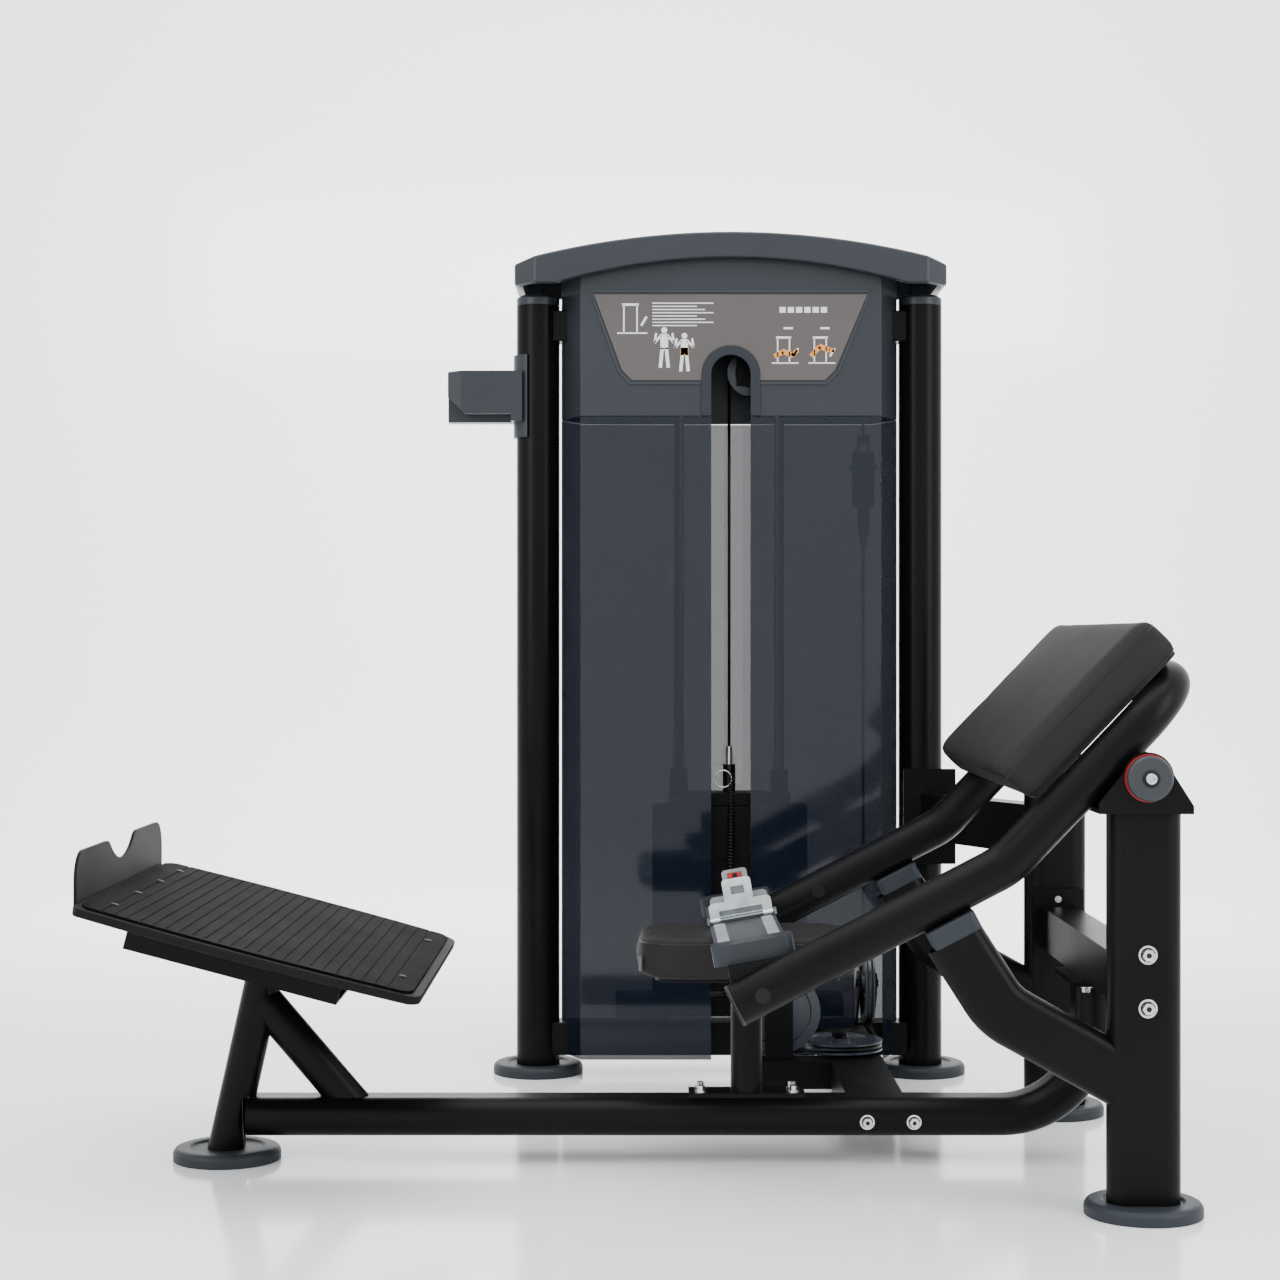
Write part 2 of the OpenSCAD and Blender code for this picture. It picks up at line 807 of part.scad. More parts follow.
module pulley_brackets() {
  color("#202224") {
    difference() {
      translate([tower_x + rod_out - 12, tower_y - 14, top_z + 2]) cube([24, 28, 26]);
      translate([tower_x + rod_out, tower_y, top_z]) cylinder(r = rod_r, h = 30);
    }
    for (s = [-18, 14]) stand_xz(tower_y + s, 4) difference() {
      translate([200, top_z - 26]) square([237, top_beam_z[0] - top_z + 26]);
      for (x = [tower_x + top_r, drop_x - top_r]) translate([x, top_z]) circle(pulley_axle_r);
    }
    for (s = [-18, 14]) stand_yz(drop_x + s, 4) translate([line_y, 0]) difference() {
      polygon([[751, 102], [811, 102], [811, 140], [730, 207], [688, 207], [688, 167]]);
      translate([708, floor_z + low_r]) circle(pulley_axle_r);
    }
    for (s = [-18, 14]) stand_xz(rear_y + s, 4) difference() {
      translate([235, link_low + link_h]) square([50, 105]);
      translate([rise_x + arm_pulley_r, floor_z + arm_pulley_r]) circle(pulley_axle_r);
    }
  }
  color("silver") {
    for (x = [tower_x + top_r, drop_x - top_r])
      rod_y(x, top_z, pulley_axle_r, tower_y - 22, tower_y + 22);
    rod_x(line_y + 708, floor_z + low_r, pulley_axle_r, drop_x - 22, drop_x + 22);
    rod_y(rise_x + arm_pulley_r, floor_z + arm_pulley_r, pulley_axle_r, rear_y - 24, rear_y + 24);
    translate([drop_x - low_r, rear_y + low_r, link_low + link_h])
      cylinder(r = pulley_axle_r, h = 30);
    translate([drop_x - low_r, rear_y + low_r, link_low + link_h + 28]) cylinder(r = 14, h = 7);
  }
}

// A grooved pulley on its own axis, r being the radius to the cable's middle.
module pulley(r) {
  color("#2c2f33") rotate_extrude($fn = 96) polygon([
    [pulley_axle_r + fit, -pulley_half], [20, -pulley_half], [20, -5], [r - 14, -5],
    [r - 12, -9], [r + 4, -9], [r + 4, -6], [r - 3.2, -3], [r - 3.2, 3], [r + 4, 6],
    [r + 4, 9], [r - 12, 9], [r - 14, 5], [20, 5], [20, pulley_half],
    [pulley_axle_r + fit, pulley_half]]);
}

module top_pulley_left() {
  translate([tower_x + top_r, tower_y, top_z]) rotate([90, 0, 0]) pulley(top_r);
}

module top_pulley_right() {
  translate([drop_x - top_r, tower_y, top_z]) rotate([90, 0, 0]) pulley(top_r);
}

module tower_pulley() {
  translate([drop_x, line_y + 708, floor_z + low_r]) rotate([0, 90, 0]) pulley(low_r);
}

module flat_pulley() {
  translate([drop_x - low_r, rear_y + low_r, floor_z]) pulley(low_r);
}

module arm_pulley() {
  translate([rise_x + arm_pulley_r, rear_y, floor_z + arm_pulley_r]) rotate([90, 0, 0])
    pulley(arm_pulley_r);
}

// ---- the cable ----

module cable_run(p, r) {
  swept(p, r, 2 * cable_r, 2 * cable_r);
}

module cable_fixed() {
  over = top_z - 10;
  color("#1c1c1c") {
    translate([0, tower_y, 0])
      cable_run([[tower_x, over], [tower_x, top_z + top_r], [drop_x, top_z + top_r],
                 [drop_x, over]], top_r);
    translate([drop_x, line_y, 0]) rotate([0, 0, 90])
      cable_run([[tower_back, 200], [tower_back, floor_z], [500, floor_z]], low_r);
    translate([0, line_y, floor_z]) rotate([-90, 0, 0])
      cable_run([[drop_x, 500], [drop_x, post_out], [300, post_out]], low_r);
    translate([0, rear_y, 0])
      cable_run([[300, floor_z], [rise_x, floor_z], [rise_x, 200]], arm_pulley_r);
  }
}

module cable_stack() {
  color("#1c1c1c") translate([tower_x, tower_y, 643]) cylinder(r = cable_r, h = top_z - 10 - 643);
}

module cable_drop() {
  color("#1c1c1c") {
    translate([drop_x, tower_y, adjuster_z[1]])
      cylinder(r = cable_r, h = top_z - 10 - adjuster_z[1]);
    translate([drop_x, tower_y, 200]) cylinder(r = cable_r, h = adjuster_z[0] - 200);
  }
}

module cable_arm() {
  color("#1c1c1c") translate([rise_x, rear_y, 200]) cylinder(r = cable_r, h = anchor_z - 15 - 200);
}

module cable_adjuster() {
  color("#17181a") translate([drop_x, tower_y, 0]) {
    translate([0, 0, adjuster_z[0]]) cylinder(r = 7, h = 19);
    translate([0, 0, 1060]) cylinder(r = 12, h = 55);
    translate([-21, -11, 1115]) cube([42, 22, 110]);
    for (x = [-12, 8]) translate([x, -9, 1225]) cube([4, 18, adjuster_z[1] - 1225]);
    translate([0, 0, 1250]) cube([16, 18, 16], center = true);
    rod_x(0, 1195, 7, -28, 28);
  }
}

// ---- the swinging arm ----

module arm_side_route(y, d) {
  translate([0, y, 0]) swept([arm_end, arm_bend, bow_start], 130, d, d);
}

// One side tube of the arm, with the sleeve that turns on its axle and the belt's bracket.
module arm_tube(y, side, plug_x, plug_z) {
  color("#141517") difference() {
    union() {
      arm_side_route(y, arm_dia);
      rod_y(pivot.x, pivot.y, sleeve_r, y - 35, y + 35);
      on_belt() translate([-42, side * 346 - 30, -40]) cube([84, 60, 25]);
    }
    arm_side_route(y, arm_dia - 2 * wall);
    rod_y(pivot.x, pivot.y, axle_dia / 2 + fit, y - 40, y + 40);
    rod_y(plug_x, plug_z, 12, y - 40, y);
  }
}

arm_front_y = line_y - arm_out;
arm_rear_y = line_y + arm_out;

module front_arm_tube() {
  arm_tube(arm_front_y, -1, 191, 329);
}

module rear_arm_tube() {
  arm_tube(arm_rear_y, 1, 329, 403);
}

module arm_bow() {
  color("#141517") translate([bow_start.x, line_y, bow_start.y]) rotate([0, 90 - arm_high, 0])
    rotate([0, 0, 90])
      bent_tube([[-arm_out, 0], [-arm_out, 110], [arm_out, 110], [arm_out, 0]], top_bend,
                arm_dia, arm_dia);
}

module arm_plugs() {
  inside = arm_r - wall;
  color("#1d1f22") {
    for (y = [arm_front_y, arm_rear_y]) translate([arm_end.x, y, arm_end.y])
      rotate([0, -90 - arm_low, 0]) {
        cylinder(r = arm_r, h = 4);
        translate([0, 0, -12]) cylinder(r = inside, h = 12);
      }
    for (p = [[191, arm_front_y, 329], [329, arm_rear_y, 403]])
      rod_y(p.x, p.z, 12, p.y - arm_r - 1, p.y - arm_r + 5);
  }
}

// Places its children on the arm's upper stretch: X runs up the tube, Z is square to the pad.
module on_arm() {
  translate([arm_bend.x, line_y, arm_bend.y]) rotate([0, -arm_high, 0]) children();
}

module pad_board() {
  color("#26221e") on_arm() translate([pad_from + pad_l / 2, 0, arm_r])
    linear_extrude(board_t) board_outline();
}

// The board lies in a recess in the pad's back, so that the cover hides its edges.
module board_outline() {
  round_rect(pad_l - 24, 2 * 372, 12);
}

module back_pad() {
  tube_gap = 1.5;
  color("#464646") on_arm() translate([pad_from + pad_l / 2, 0, arm_r]) difference() {
    translate([0, 0, tube_gap]) linear_extrude(board_t + pad_t - tube_gap)
      round_rect(pad_l, 2 * 383, 20);
    linear_extrude(board_t) board_outline();
  }
}

// Places its children in the belt's frame: X across the belt, Y along it, Z out of it.
module on_belt() {
  translate([belt_x, line_y, belt_z]) rotate([0, belt_tilt, 0]) children();
}

module hip_belt() {
  color("#3a3d42") on_belt() translate([-belt_w / 2, -340, belt_top - belt_t])
    cube([belt_w, 680, belt_t]);
}

module belt_sleeves() {
  color("#596067") on_belt() for (s = [-1, 1]) difference() {
    translate([0, s * 325, -15]) linear_extrude(30) round_rect(belt_w + 14, 50, 8);
    translate([-belt_w / 2, -340, belt_top - belt_t]) cube([belt_w, 680, belt_t]);
  }
}

module cable_anchor() {
  color("#202224") {
    difference() {
      for (s = [-15, 10]) translate([rise_x - 15, rear_y + s, anchor_z - 13]) cube([30, 5, 60]);
      arm_side_route(arm_rear_y, arm_dia);
      rod_y(rise_x, anchor_z, 5, rear_y - 20, rear_y + 20);
    }
    rod_y(rise_x, anchor_z, 5, rear_y - 18, rear_y + 18);
    difference() {
      translate([rise_x, rear_y, anchor_z - 15]) cylinder(r = 9, h = 28);
      rod_y(rise_x, anchor_z, 5, rear_y - 20, rear_y + 20);
    }
  }
}

// ---- the belt's buckle, in the belt's frame ----

hinge_y = 18;
hinge_z = 9;
hinge_r = 2.5;

module buckle_tongue() {
  color("#c9ccce") on_belt() {
    difference() {
      stand_xz(hinge_y - 2, 4) {
        difference() {
          translate([0, 24]) round_rect(104, 28, 8);
          translate([-36, 15]) square([72, 9]);
        }
        difference() {
          translate([0, 50]) round_rect(48, 48, 6);
          translate([-11, 48]) square([22, 13]);
          translate([-30, 20]) square([60, 18]);
        }
      }
      rod_x(hinge_y, hinge_z, 4.5, -60, 60);
    }
    difference() {
      for (x = [-52, 36]) rod_x(hinge_y, hinge_z, 4.5, x, x + 16);
      rod_x(hinge_y, hinge_z, hinge_r + fit, -60, 60);
    }
    for (x = [-52, 36]) translate([x, hinge_y - 2, hinge_z + 4]) cube([16, 4, 4]);
  }
}

module buckle_body() {
  color("#7d8286") on_belt() difference() {
    union() {
      translate([-58, 26, belt_top]) cube([116, 34, 4]);
      for (x = [-58, 54]) translate([x, 12, belt_top]) cube([4, 22, 10]);
      rod_x(hinge_y, hinge_z, hinge_r, -58, 58);
      stand_xz(26, 4) {
        translate([0, 27]) round_rect(96, 40, 8);
        translate([0, 66]) round_rect(42, 44, 6);
      }
    }
    translate([-12, 20, 73.5]) cube([24, 20, 9]);
  }
}

module release_button() {
  color("#c8202a") on_belt() translate([-11.5, 20, 74]) cube([23, 13, 8]);
}

// The device holder in plan, from its upright's axis, made smaller all round by less.
module holder_plan(less) {
  polygon([[-30, -48 + less], [-150 + 0.4 * less, -48 + less],
           [-177 + less, -20 + 0.4 * less], [-177 + less, 34 - less], [-30, 34 - less]]);
}

module device_holder() {
  saddle_z = 1251;
  saddle_h = 162;
  box_z = 1282;
  box_h = 98;
  floor_t = 14;
  front_d = 52;
  color("#4a525a") translate([tower_x - upright_out, tower_y, 0]) difference() {
    union() {
      intersection() {
        translate([0, 0, saddle_z]) cylinder(r = upright_dia / 2 + 6, h = saddle_h);
        translate([-60, -60, saddle_z]) cube([40, 120, saddle_h]);
      }
      translate([0, 0, box_z]) linear_extrude(box_h) holder_plan(0);
    }
    translate([0, 0, saddle_z - 1]) cylinder(d = upright_dia, h = saddle_h + 2);
    translate([0, 0, box_z + 56]) linear_extrude(box_h) intersection() {
      holder_plan(4);
      translate([-200, -60]) square([146, 120]);
    }
    translate([-138, -44, box_z + floor_t + 4]) cube([84, 74, box_h]);
    translate([-200, -60, box_z - 10]) cube([148, front_d, floor_t + 10]);
    stand_xz(-60, front_d) polygon([[-200, box_z], [-200, box_z + floor_t + 58],
                                    [-142, box_z + floor_t], [-142, box_z]]);
  }
}

// ---- the nodes ----

base_tube();
left_leg();
platform_channel();
footplate();
tread_mat();
toe_plate();
seat_post();
seat_cushion();
front_post();
rear_post();
crossbeam();
pivot_clevises();
pivot_axles();
pivot_caps();
stop_arms();
rubber_stops();
frame_bolts();
feet();
tower_uprights();
upright_caps();
tower_base_beam();
tower_top_beam();
tower_brace();
base_link();
guide_rods();
stack_base();
resting_plates();
shroud_cap();
fascia();
placard();
slot_trim();
clear_shields();
pulley_brackets();
cable_fixed();
device_holder();
cable_stack();
cable_drop();
cable_arm();
front_arm_tube();
rear_arm_tube();
arm_bow();
arm_plugs();
pad_board();
back_pad();
hip_belt();
belt_sleeves();
cable_anchor();
buckle_tongue();
buckle_body();
release_button();
head_plate();
selector_stem();
lifted_plates();
selector_pin();
cable_adjuster();
top_pulley_left();
top_pulley_right();
tower_pulley();
flat_pulley();
arm_pulley();
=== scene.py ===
# %% [markdown]
# A hip thrust machine: a low black frame, a foot platform, a small seat, a swinging padded arm
# with a hip belt, and a weight tower behind tinted shields. The sizes and places are fixed by
# the imported design, so this lesson only dresses it: every metal part gets softened edges and a
# coat, the cushions are blown up as cloth, and four straight cables are drawn again as tubes.

import json
import math

import bmesh
import bpy
from mathutils import Matrix, Vector
from mathutils.bvhtree import BVHTree


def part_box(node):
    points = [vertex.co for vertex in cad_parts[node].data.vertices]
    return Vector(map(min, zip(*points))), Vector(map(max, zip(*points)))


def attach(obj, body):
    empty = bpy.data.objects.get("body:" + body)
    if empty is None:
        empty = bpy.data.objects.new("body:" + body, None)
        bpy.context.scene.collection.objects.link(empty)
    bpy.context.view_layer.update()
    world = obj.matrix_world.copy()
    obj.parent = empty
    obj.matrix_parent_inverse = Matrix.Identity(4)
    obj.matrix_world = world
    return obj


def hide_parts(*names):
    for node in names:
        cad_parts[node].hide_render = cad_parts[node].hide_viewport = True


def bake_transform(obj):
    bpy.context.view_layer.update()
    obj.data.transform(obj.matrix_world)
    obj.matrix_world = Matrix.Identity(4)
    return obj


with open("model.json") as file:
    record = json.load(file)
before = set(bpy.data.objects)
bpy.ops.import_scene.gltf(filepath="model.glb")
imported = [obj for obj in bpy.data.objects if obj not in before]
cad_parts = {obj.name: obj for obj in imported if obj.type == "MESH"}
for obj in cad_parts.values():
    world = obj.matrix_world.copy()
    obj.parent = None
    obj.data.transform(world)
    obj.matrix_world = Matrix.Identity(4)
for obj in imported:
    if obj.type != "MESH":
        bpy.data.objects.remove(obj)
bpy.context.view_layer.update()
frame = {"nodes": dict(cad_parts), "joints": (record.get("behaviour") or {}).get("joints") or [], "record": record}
nodes = frame["nodes"]
slot_of = {p["node"]: p["material_slot"] for p in frame["record"]["subparts"]}
body_of = {n: b for b, group in frame["record"]["behaviour"]["bodies"].items() for n in group}
joints = {j["name"]: j for j in frame["joints"]}
MM = 0.001

# %% [markdown]
# Where it can be, a place is asked from the design: a corner or the middle of a part's box. Then
# a piece made here stays on its part if the design changes. Only small details, such as the
# pictures on the placard, are placed by numbers of their own.

# %% Where a part lies
def low(node):
    """The lowest corner of a part's box."""
    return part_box(node)[0]


def high(node):
    """The highest corner of a part's box."""
    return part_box(node)[1]


def middle(node):
    """The middle of a part's box."""
    return (low(node) + high(node)) / 2


print("the tower is", round(high("shroud_cap").z, 3), "m high")

# %% [markdown]
# The camera comes first, because it decides what matters. It stands level, a little higher than
# the pad, far enough away that the machine looks almost flat. A long lens does that.

# %% Camera
LINE_Y = middle("base_tube").y
CAMERA_BACK = 3.902
CAMERA_HEIGHT = 0.853
lens_data = bpy.data.cameras.new("camera")
lens_data.lens = 66.7
lens_data.sensor_width = 36
lens_data.clip_end = 60
camera = bpy.data.objects.new("camera", lens_data)
camera.location = (0.010, LINE_Y - CAMERA_BACK, CAMERA_HEIGHT)
camera.rotation_euler = (math.radians(90), 0, 0)
bpy.context.scene.collection.objects.link(camera)
bpy.context.scene.camera = camera
print("camera at", tuple(round(v, 3) for v in camera.location))

# %% [markdown]
# A photographer's cove: the floor turns up into the wall with no corner, so there is no
# horizon. It could be a plane and a wall, but the bend hides the join.

# %% A floor with no corner
def new_piece(name, bm, material=None):
    """A mesh object from a bmesh, at the origin."""
    mesh = bpy.data.meshes.new(name)
    bm.to_mesh(mesh)
    bm.free()
    piece = bpy.data.objects.new(name, mesh)
    bpy.context.scene.collection.objects.link(piece)
    if material:
        mesh.materials.append(material)
    return piece


def cove():
    """The floor, turned up into the back wall by a spin of its far edge."""
    near, far, bend, wide, tall = -7.0, 4.5, 2.5, 12.0, 7.0
    bm = bmesh.new()
    ends = [bm.verts.new((x, near, 0)) for x in (-wide, wide)]
    edge = bm.edges.new(ends)
    out = bmesh.ops.extrude_edge_only(bm, edges=[edge])["geom"]
    verts = [g for g in out if isinstance(g, bmesh.types.BMVert)]
    bmesh.ops.translate(bm, verts=verts, vec=(0, far - near, 0))
    edge = [g for g in out if isinstance(g, bmesh.types.BMEdge)]
    turned = bmesh.ops.spin(
        bm, geom=verts + edge, cent=(0, far, bend), axis=(1, 0, 0),
        angle=math.radians(90), steps=24,
    )["geom_last"]
    edge = [g for g in turned if isinstance(g, bmesh.types.BMEdge)]
    out = bmesh.ops.extrude_edge_only(bm, edges=edge)["geom"]
    verts = [g for g in out if isinstance(g, bmesh.types.BMVert)]
    bmesh.ops.translate(bm, verts=verts, vec=(0, 0, tall))
    bmesh.ops.recalc_face_normals(bm, faces=bm.faces)
    for f in bm.faces:
        f.smooth = True
    return new_piece("studio_cove", bm)


floor = cove()
floor_paint = bpy.data.materials.new("studio_white")
floor_paint.use_nodes = True
floor_shader = floor_paint.node_tree.nodes["Principled BSDF"]
floor_shader.inputs["Base Color"].default_value = (0.93, 0.93, 0.93, 1)
floor_shader.inputs["Roughness"].default_value = 0.14
floor_shader.inputs["Specular IOR Level"].default_value = 0.35
floor.data.materials.append(floor_paint)
print("floor faces", len(floor.data.polygons))

# %% [markdown]
# Large soft lamps stand over and beside the machine and behind it, and a pale world fills the
# shadows. Small lamps would be easier to place, but they draw hard spots on black paint.

# %% Lights
def softbox(name, place, aim, size, power):
    """A wide soft lamp at a place, turned to what it lights."""
    data = bpy.data.lights.new(name, "AREA")
    data.shape = "RECTANGLE"
    data.size, data.size_y = size
    data.energy = power
    lamp = bpy.data.objects.new(name, data)
    lamp.location = place
    lamp.rotation_euler = (Vector(aim) - Vector(place)).to_track_quat("-Z", "Y").to_euler()
    bpy.context.scene.collection.objects.link(lamp)
    return lamp


softbox("top_lamp", (0.2, -0.6, 3.6), (0, 0, 0.4), (3.4, 3.0), 100)
softbox("left_lamp", (-3.2, -3.0, 2.2), (0, 0, 0.6), (2.0, 2.6), 80)
softbox("right_lamp", (3.4, -2.2, 2.0), (0.2, 0, 0.7), (1.6, 2.6), 70)
softbox("wall_lamp", (0, 2.2, 3.2), (0, 6.5, 1.4), (6.0, 1.6), 520)
world = bpy.data.worlds.new("studio_air")
bpy.context.scene.world = world
world.use_nodes = True
world.node_tree.nodes["Background"].inputs["Color"].default_value = (0.95, 0.97, 1.0, 1)
world.node_tree.nodes["Background"].inputs["Strength"].default_value = 1.7
print("lamps", len(bpy.data.lights))

# %% [markdown]
# Finishes. Powder coat is not one flat black: the baked powder leaves a fine orange peel, and
# the gloss drifts a little along a tube. Each finish here is one small node graph on the
# piece's own coordinates: a fine noise for the surface, a broad one for colour and gloss.

# %% A graph that all finishes share
def linked(tree, kind, **values):
    """A new shader node with some of its sockets or settings given."""
    node = tree.nodes.new(kind)
    for key, value in values.items():
        if key in node.inputs:
            node.inputs[key].default_value = value
        else:
            setattr(node, key, value)
    return node


def finish(
    name, colour, rough, metal=0.0, drift=0.18, broad=5.0, grain=900.0, depth=0.00008,
    gloss_drift=0.08, coat=0.0, sheen=0.0, detail=3.0, spec=0.5,
):
    """A material with a broad drift of colour and gloss, and a fine grain in its surface."""
    made = bpy.data.materials.new(name)
    made.use_nodes = True
    tree = made.node_tree
    shader = tree.nodes["Principled BSDF"]
    shader.inputs["Metallic"].default_value = metal
    shader.inputs["Coat Weight"].default_value = coat
    shader.inputs["Coat Roughness"].default_value = 0.2
    shader.inputs["Sheen Weight"].default_value = sheen
    shader.inputs["Specular IOR Level"].default_value = spec
    place = tree.nodes.new("ShaderNodeTexCoord")
    wide = linked(tree, "ShaderNodeTexNoise", Scale=broad, Detail=detail)
    fine = linked(tree, "ShaderNodeTexNoise", Scale=grain, Detail=2.0)
    tree.links.new(place.outputs["Object"], wide.inputs["Vector"])
    tree.links.new(place.outputs["Object"], fine.inputs["Vector"])
    ramp = tree.nodes.new("ShaderNodeValToRGB")
    ramp.color_ramp.elements[0].position = 0.3
    ramp.color_ramp.elements[1].position = 0.7
    ramp.color_ramp.elements[0].color = (*[c * (1 - drift) for c in colour], 1)
    ramp.color_ramp.elements[1].color = (*[c * (1 + drift) for c in colour], 1)
    tree.links.new(wide.outputs["Fac"], ramp.inputs["Fac"])
    tree.links.new(ramp.outputs["Color"], shader.inputs["Base Color"])
    gloss = linked(tree, "ShaderNodeMapRange")
    gloss.inputs["To Min"].default_value = max(0.02, rough - gloss_drift)
    gloss.inputs["To Max"].default_value = min(1.0, rough + gloss_drift)
    tree.links.new(wide.outputs["Fac"], gloss.inputs["Value"])
    tree.links.new(gloss.outputs["Result"], shader.inputs["Roughness"])
    bump = linked(tree, "ShaderNodeBump", Strength=1.0, Distance=depth)
    tree.links.new(fine.outputs["Fac"], bump.inputs["Height"])
    tree.links.new(bump.outputs["Normal"], shader.inputs["Normal"])
    return made


def pressed_in(made, height, strength, distance):
    """Adds a second, coarser relief on top of a finish's fine grain."""
    tree = made.node_tree
    relief = linked(tree, "ShaderNodeBump", Strength=strength, Distance=distance)
    tree.links.new(height, relief.inputs["Height"])
    tree.links.new(tree.nodes["Bump"].outputs["Normal"], relief.inputs["Normal"])
    shader = tree.nodes["Principled BSDF"]
    tree.links.new(relief.outputs["Normal"], shader.inputs["Normal"])
    return made


print("a finish has a broad drift and a fine grain")

# %% [markdown]
# Cushion covers are embossed vinyl. Its skin is small cells with sunken borders, which a cell
# pattern gives by its distance to the nearest border. Painted wrinkles would look like leather.

# %% Embossed vinyl
def vinyl(name, colour, rough):
    """Leather-like vinyl: small cells pressed into the skin over a softer unevenness."""
    made = finish(name, colour, rough, drift=0.10, broad=7, grain=260, depth=0.0001, spec=0.07)
    tree = made.node_tree
    place = tree.nodes["Texture Coordinate"]
    cells = linked(tree, "ShaderNodeTexVoronoi", Scale=620.0, feature="DISTANCE_TO_EDGE")
    tree.links.new(place.outputs["Object"], cells.inputs["Vector"])
    return pressed_in(made, cells.outputs["Distance"], 0.7, 0.00012)


covers = {
    "pad_vinyl": vinyl("pad_vinyl", (0.0172, 0.0170, 0.0169), 0.62),
    "seat_vinyl": vinyl("seat_vinyl", (0.0165, 0.0158, 0.0154), 0.56),
}
print("covers", list(covers))

# %% [markdown]
# The belt and its straps are woven. Two crossed sets of waves, of which the higher one counts at
# each place, give the raised and sunken threads. The threads are far too many to model.

# %% Woven webbing
def webbing(name, colour, rough):
    """Woven strap: two crossed sets of bands give the weave its raised and sunken threads."""
    made = finish(name, colour, rough, drift=0.14, broad=30, grain=1500, depth=0.0001, sheen=0.05,
                  spec=0.3)
    tree = made.node_tree
    place = tree.nodes["Texture Coordinate"]
    heights = []
    for direction in ("X", "Y"):
        bands = linked(tree, "ShaderNodeTexWave", Scale=160.0, bands_direction=direction)
        tree.links.new(place.outputs["Object"], bands.inputs["Vector"])
        heights.append(bands)
    weave = tree.nodes.new("ShaderNodeMath")
    weave.operation = "MAXIMUM"
    for k in (0, 1):
        tree.links.new(heights[k].outputs["Fac"], weave.inputs[k])
    return pressed_in(made, weave.outputs["Value"], 0.8, 0.0004)


belt_fabric = webbing("belt_fabric", (0.010, 0.0125, 0.017), 0.42)
strap_light = webbing("strap_light", (0.20, 0.21, 0.23), 0.4)
print("webbing", belt_fabric.name, strap_light.name)

# %% [markdown]
# The shields are smoked acrylic. Full glass would bend the light and take long to draw, while a
# thin flat sheet hardly bends it, so part of the light is simply let straight through.

# %% Tinted shields
def tinted_sheet(name, colour, cover):
    """Smoked acrylic: part of the light goes straight through, the face stays glossy."""
    made = finish(name, colour, 0.06, drift=0.05, broad=1.6, grain=2, depth=0.00001,
                  gloss_drift=0.02, spec=0.35)
    made.node_tree.nodes["Principled BSDF"].inputs["Alpha"].default_value = cover
    return made


tinted_acrylic = tinted_sheet("tinted_acrylic", (0.0054, 0.0080, 0.0158), 0.735)
print("shields", tinted_acrylic.name)

# %% [markdown]
# The rest are paint, plastic, rubber and bare metal. Each is one line: a colour, a roughness and
# whatever sets it apart. Dark coats need a very dark colour and little shine, or they turn grey.

# %% All the finishes, by the design's slots
finishes = {
    **covers,
    "frame_black": finish("powder_black", (0.0032, 0.0032, 0.0034), 0.34, spec=0.09),
    "tower_black": finish("gloss_black", (0.0030, 0.0030, 0.0032), 0.28, spec=0.08),
    "plate_grey": finish("textured_grey", (0.0075, 0.0075, 0.0083), 0.55, grain=1400, depth=0.0002,
                         spec=0.06),
    "slate_plastic": finish("slate_plastic", (0.017, 0.0205, 0.025), 0.36, drift=0.06, grain=1600,
                            spec=0.3),
    "cap_plastic": finish("grey_plastic", (0.025, 0.028, 0.032), 0.36, drift=0.06, grain=1600,
                          spec=0.3),
    "foot_rubber": finish("slate_rubber", (0.016, 0.020, 0.025), 0.5, drift=0.12, grain=500,
                          spec=0.25),
    "tread_rubber": finish("tread_rubber", (0.0026, 0.0026, 0.0027), 0.7, drift=0.25, broad=9,
                           grain=700, depth=0.0003, spec=0.03),
    "tinted_acrylic": tinted_acrylic,
    "placard_grey": finish("placard_grey", (0.072, 0.066, 0.063), 0.34, drift=0.04, grain=400,
                           spec=0.3),
    "trim_dark": finish("trim_dark", (0.015, 0.018, 0.023), 0.32, drift=0.08, spec=0.25),
    "zinc": finish("zinc", (0.60, 0.61, 0.62), 0.24, metal=1.0, drift=0.2, broad=70),
    "rod_steel": finish("rod_steel", (0.075, 0.08, 0.09), 0.28, metal=1.0, drift=0.1),
    "axle_steel": finish("axle_steel", (0.30, 0.31, 0.33), 0.30, metal=1.0),
    "weight_iron": finish("weight_iron", (0.0036, 0.0036, 0.0040), 0.5, drift=0.3, broad=14,
                          grain=420, depth=0.0004, spec=0.1),
    "cable_black": finish("cable_black", (0.003, 0.003, 0.003), 0.30, grain=1200, spec=0.2),
    "belt_fabric": belt_fabric,
    "buckle_steel": finish("buckle_steel", (0.72, 0.76, 0.76), 0.26, metal=0.55, broad=40),
    "buckle_dark": finish("buckle_dark", (0.27, 0.30, 0.30), 0.36, metal=0.7, broad=40),
    "red_plastic": finish("red_plastic", (0.34, 0.004, 0.005), 0.28, drift=0.06),
    "board": finish("painted_board", (0.012, 0.011, 0.010), 0.6, broad=12, grain=240,
                    depth=0.0003, spec=0.2),
    "pulley_nylon": finish("pulley_nylon", (0.018, 0.023, 0.031), 0.26, drift=0.12),
    "plug_black": finish("plug_black", (0.0035, 0.0035, 0.004), 0.40, spec=0.2),
    "pin_black": finish("pin_black", (0.003, 0.003, 0.003), 0.28, spec=0.3),
}
print("finishes", len(finishes))

# %% [markdown]
# Metal and plastic parts. The design gives each part as loose triangles with knife-sharp
# edges. Real edges are rounded, and it is the rounding that catches the light. So each part is
# copied, its triangles are joined and its sharp edges bevelled by a few tenths of a millimetre
# to some millimetres, whichever the real part has.

# %% Dress a part
SHARP = math.radians(28)
CREASE = math.radians(38)
LEVEL = math.radians(0.5)
SAME_PLACE = 2e-5


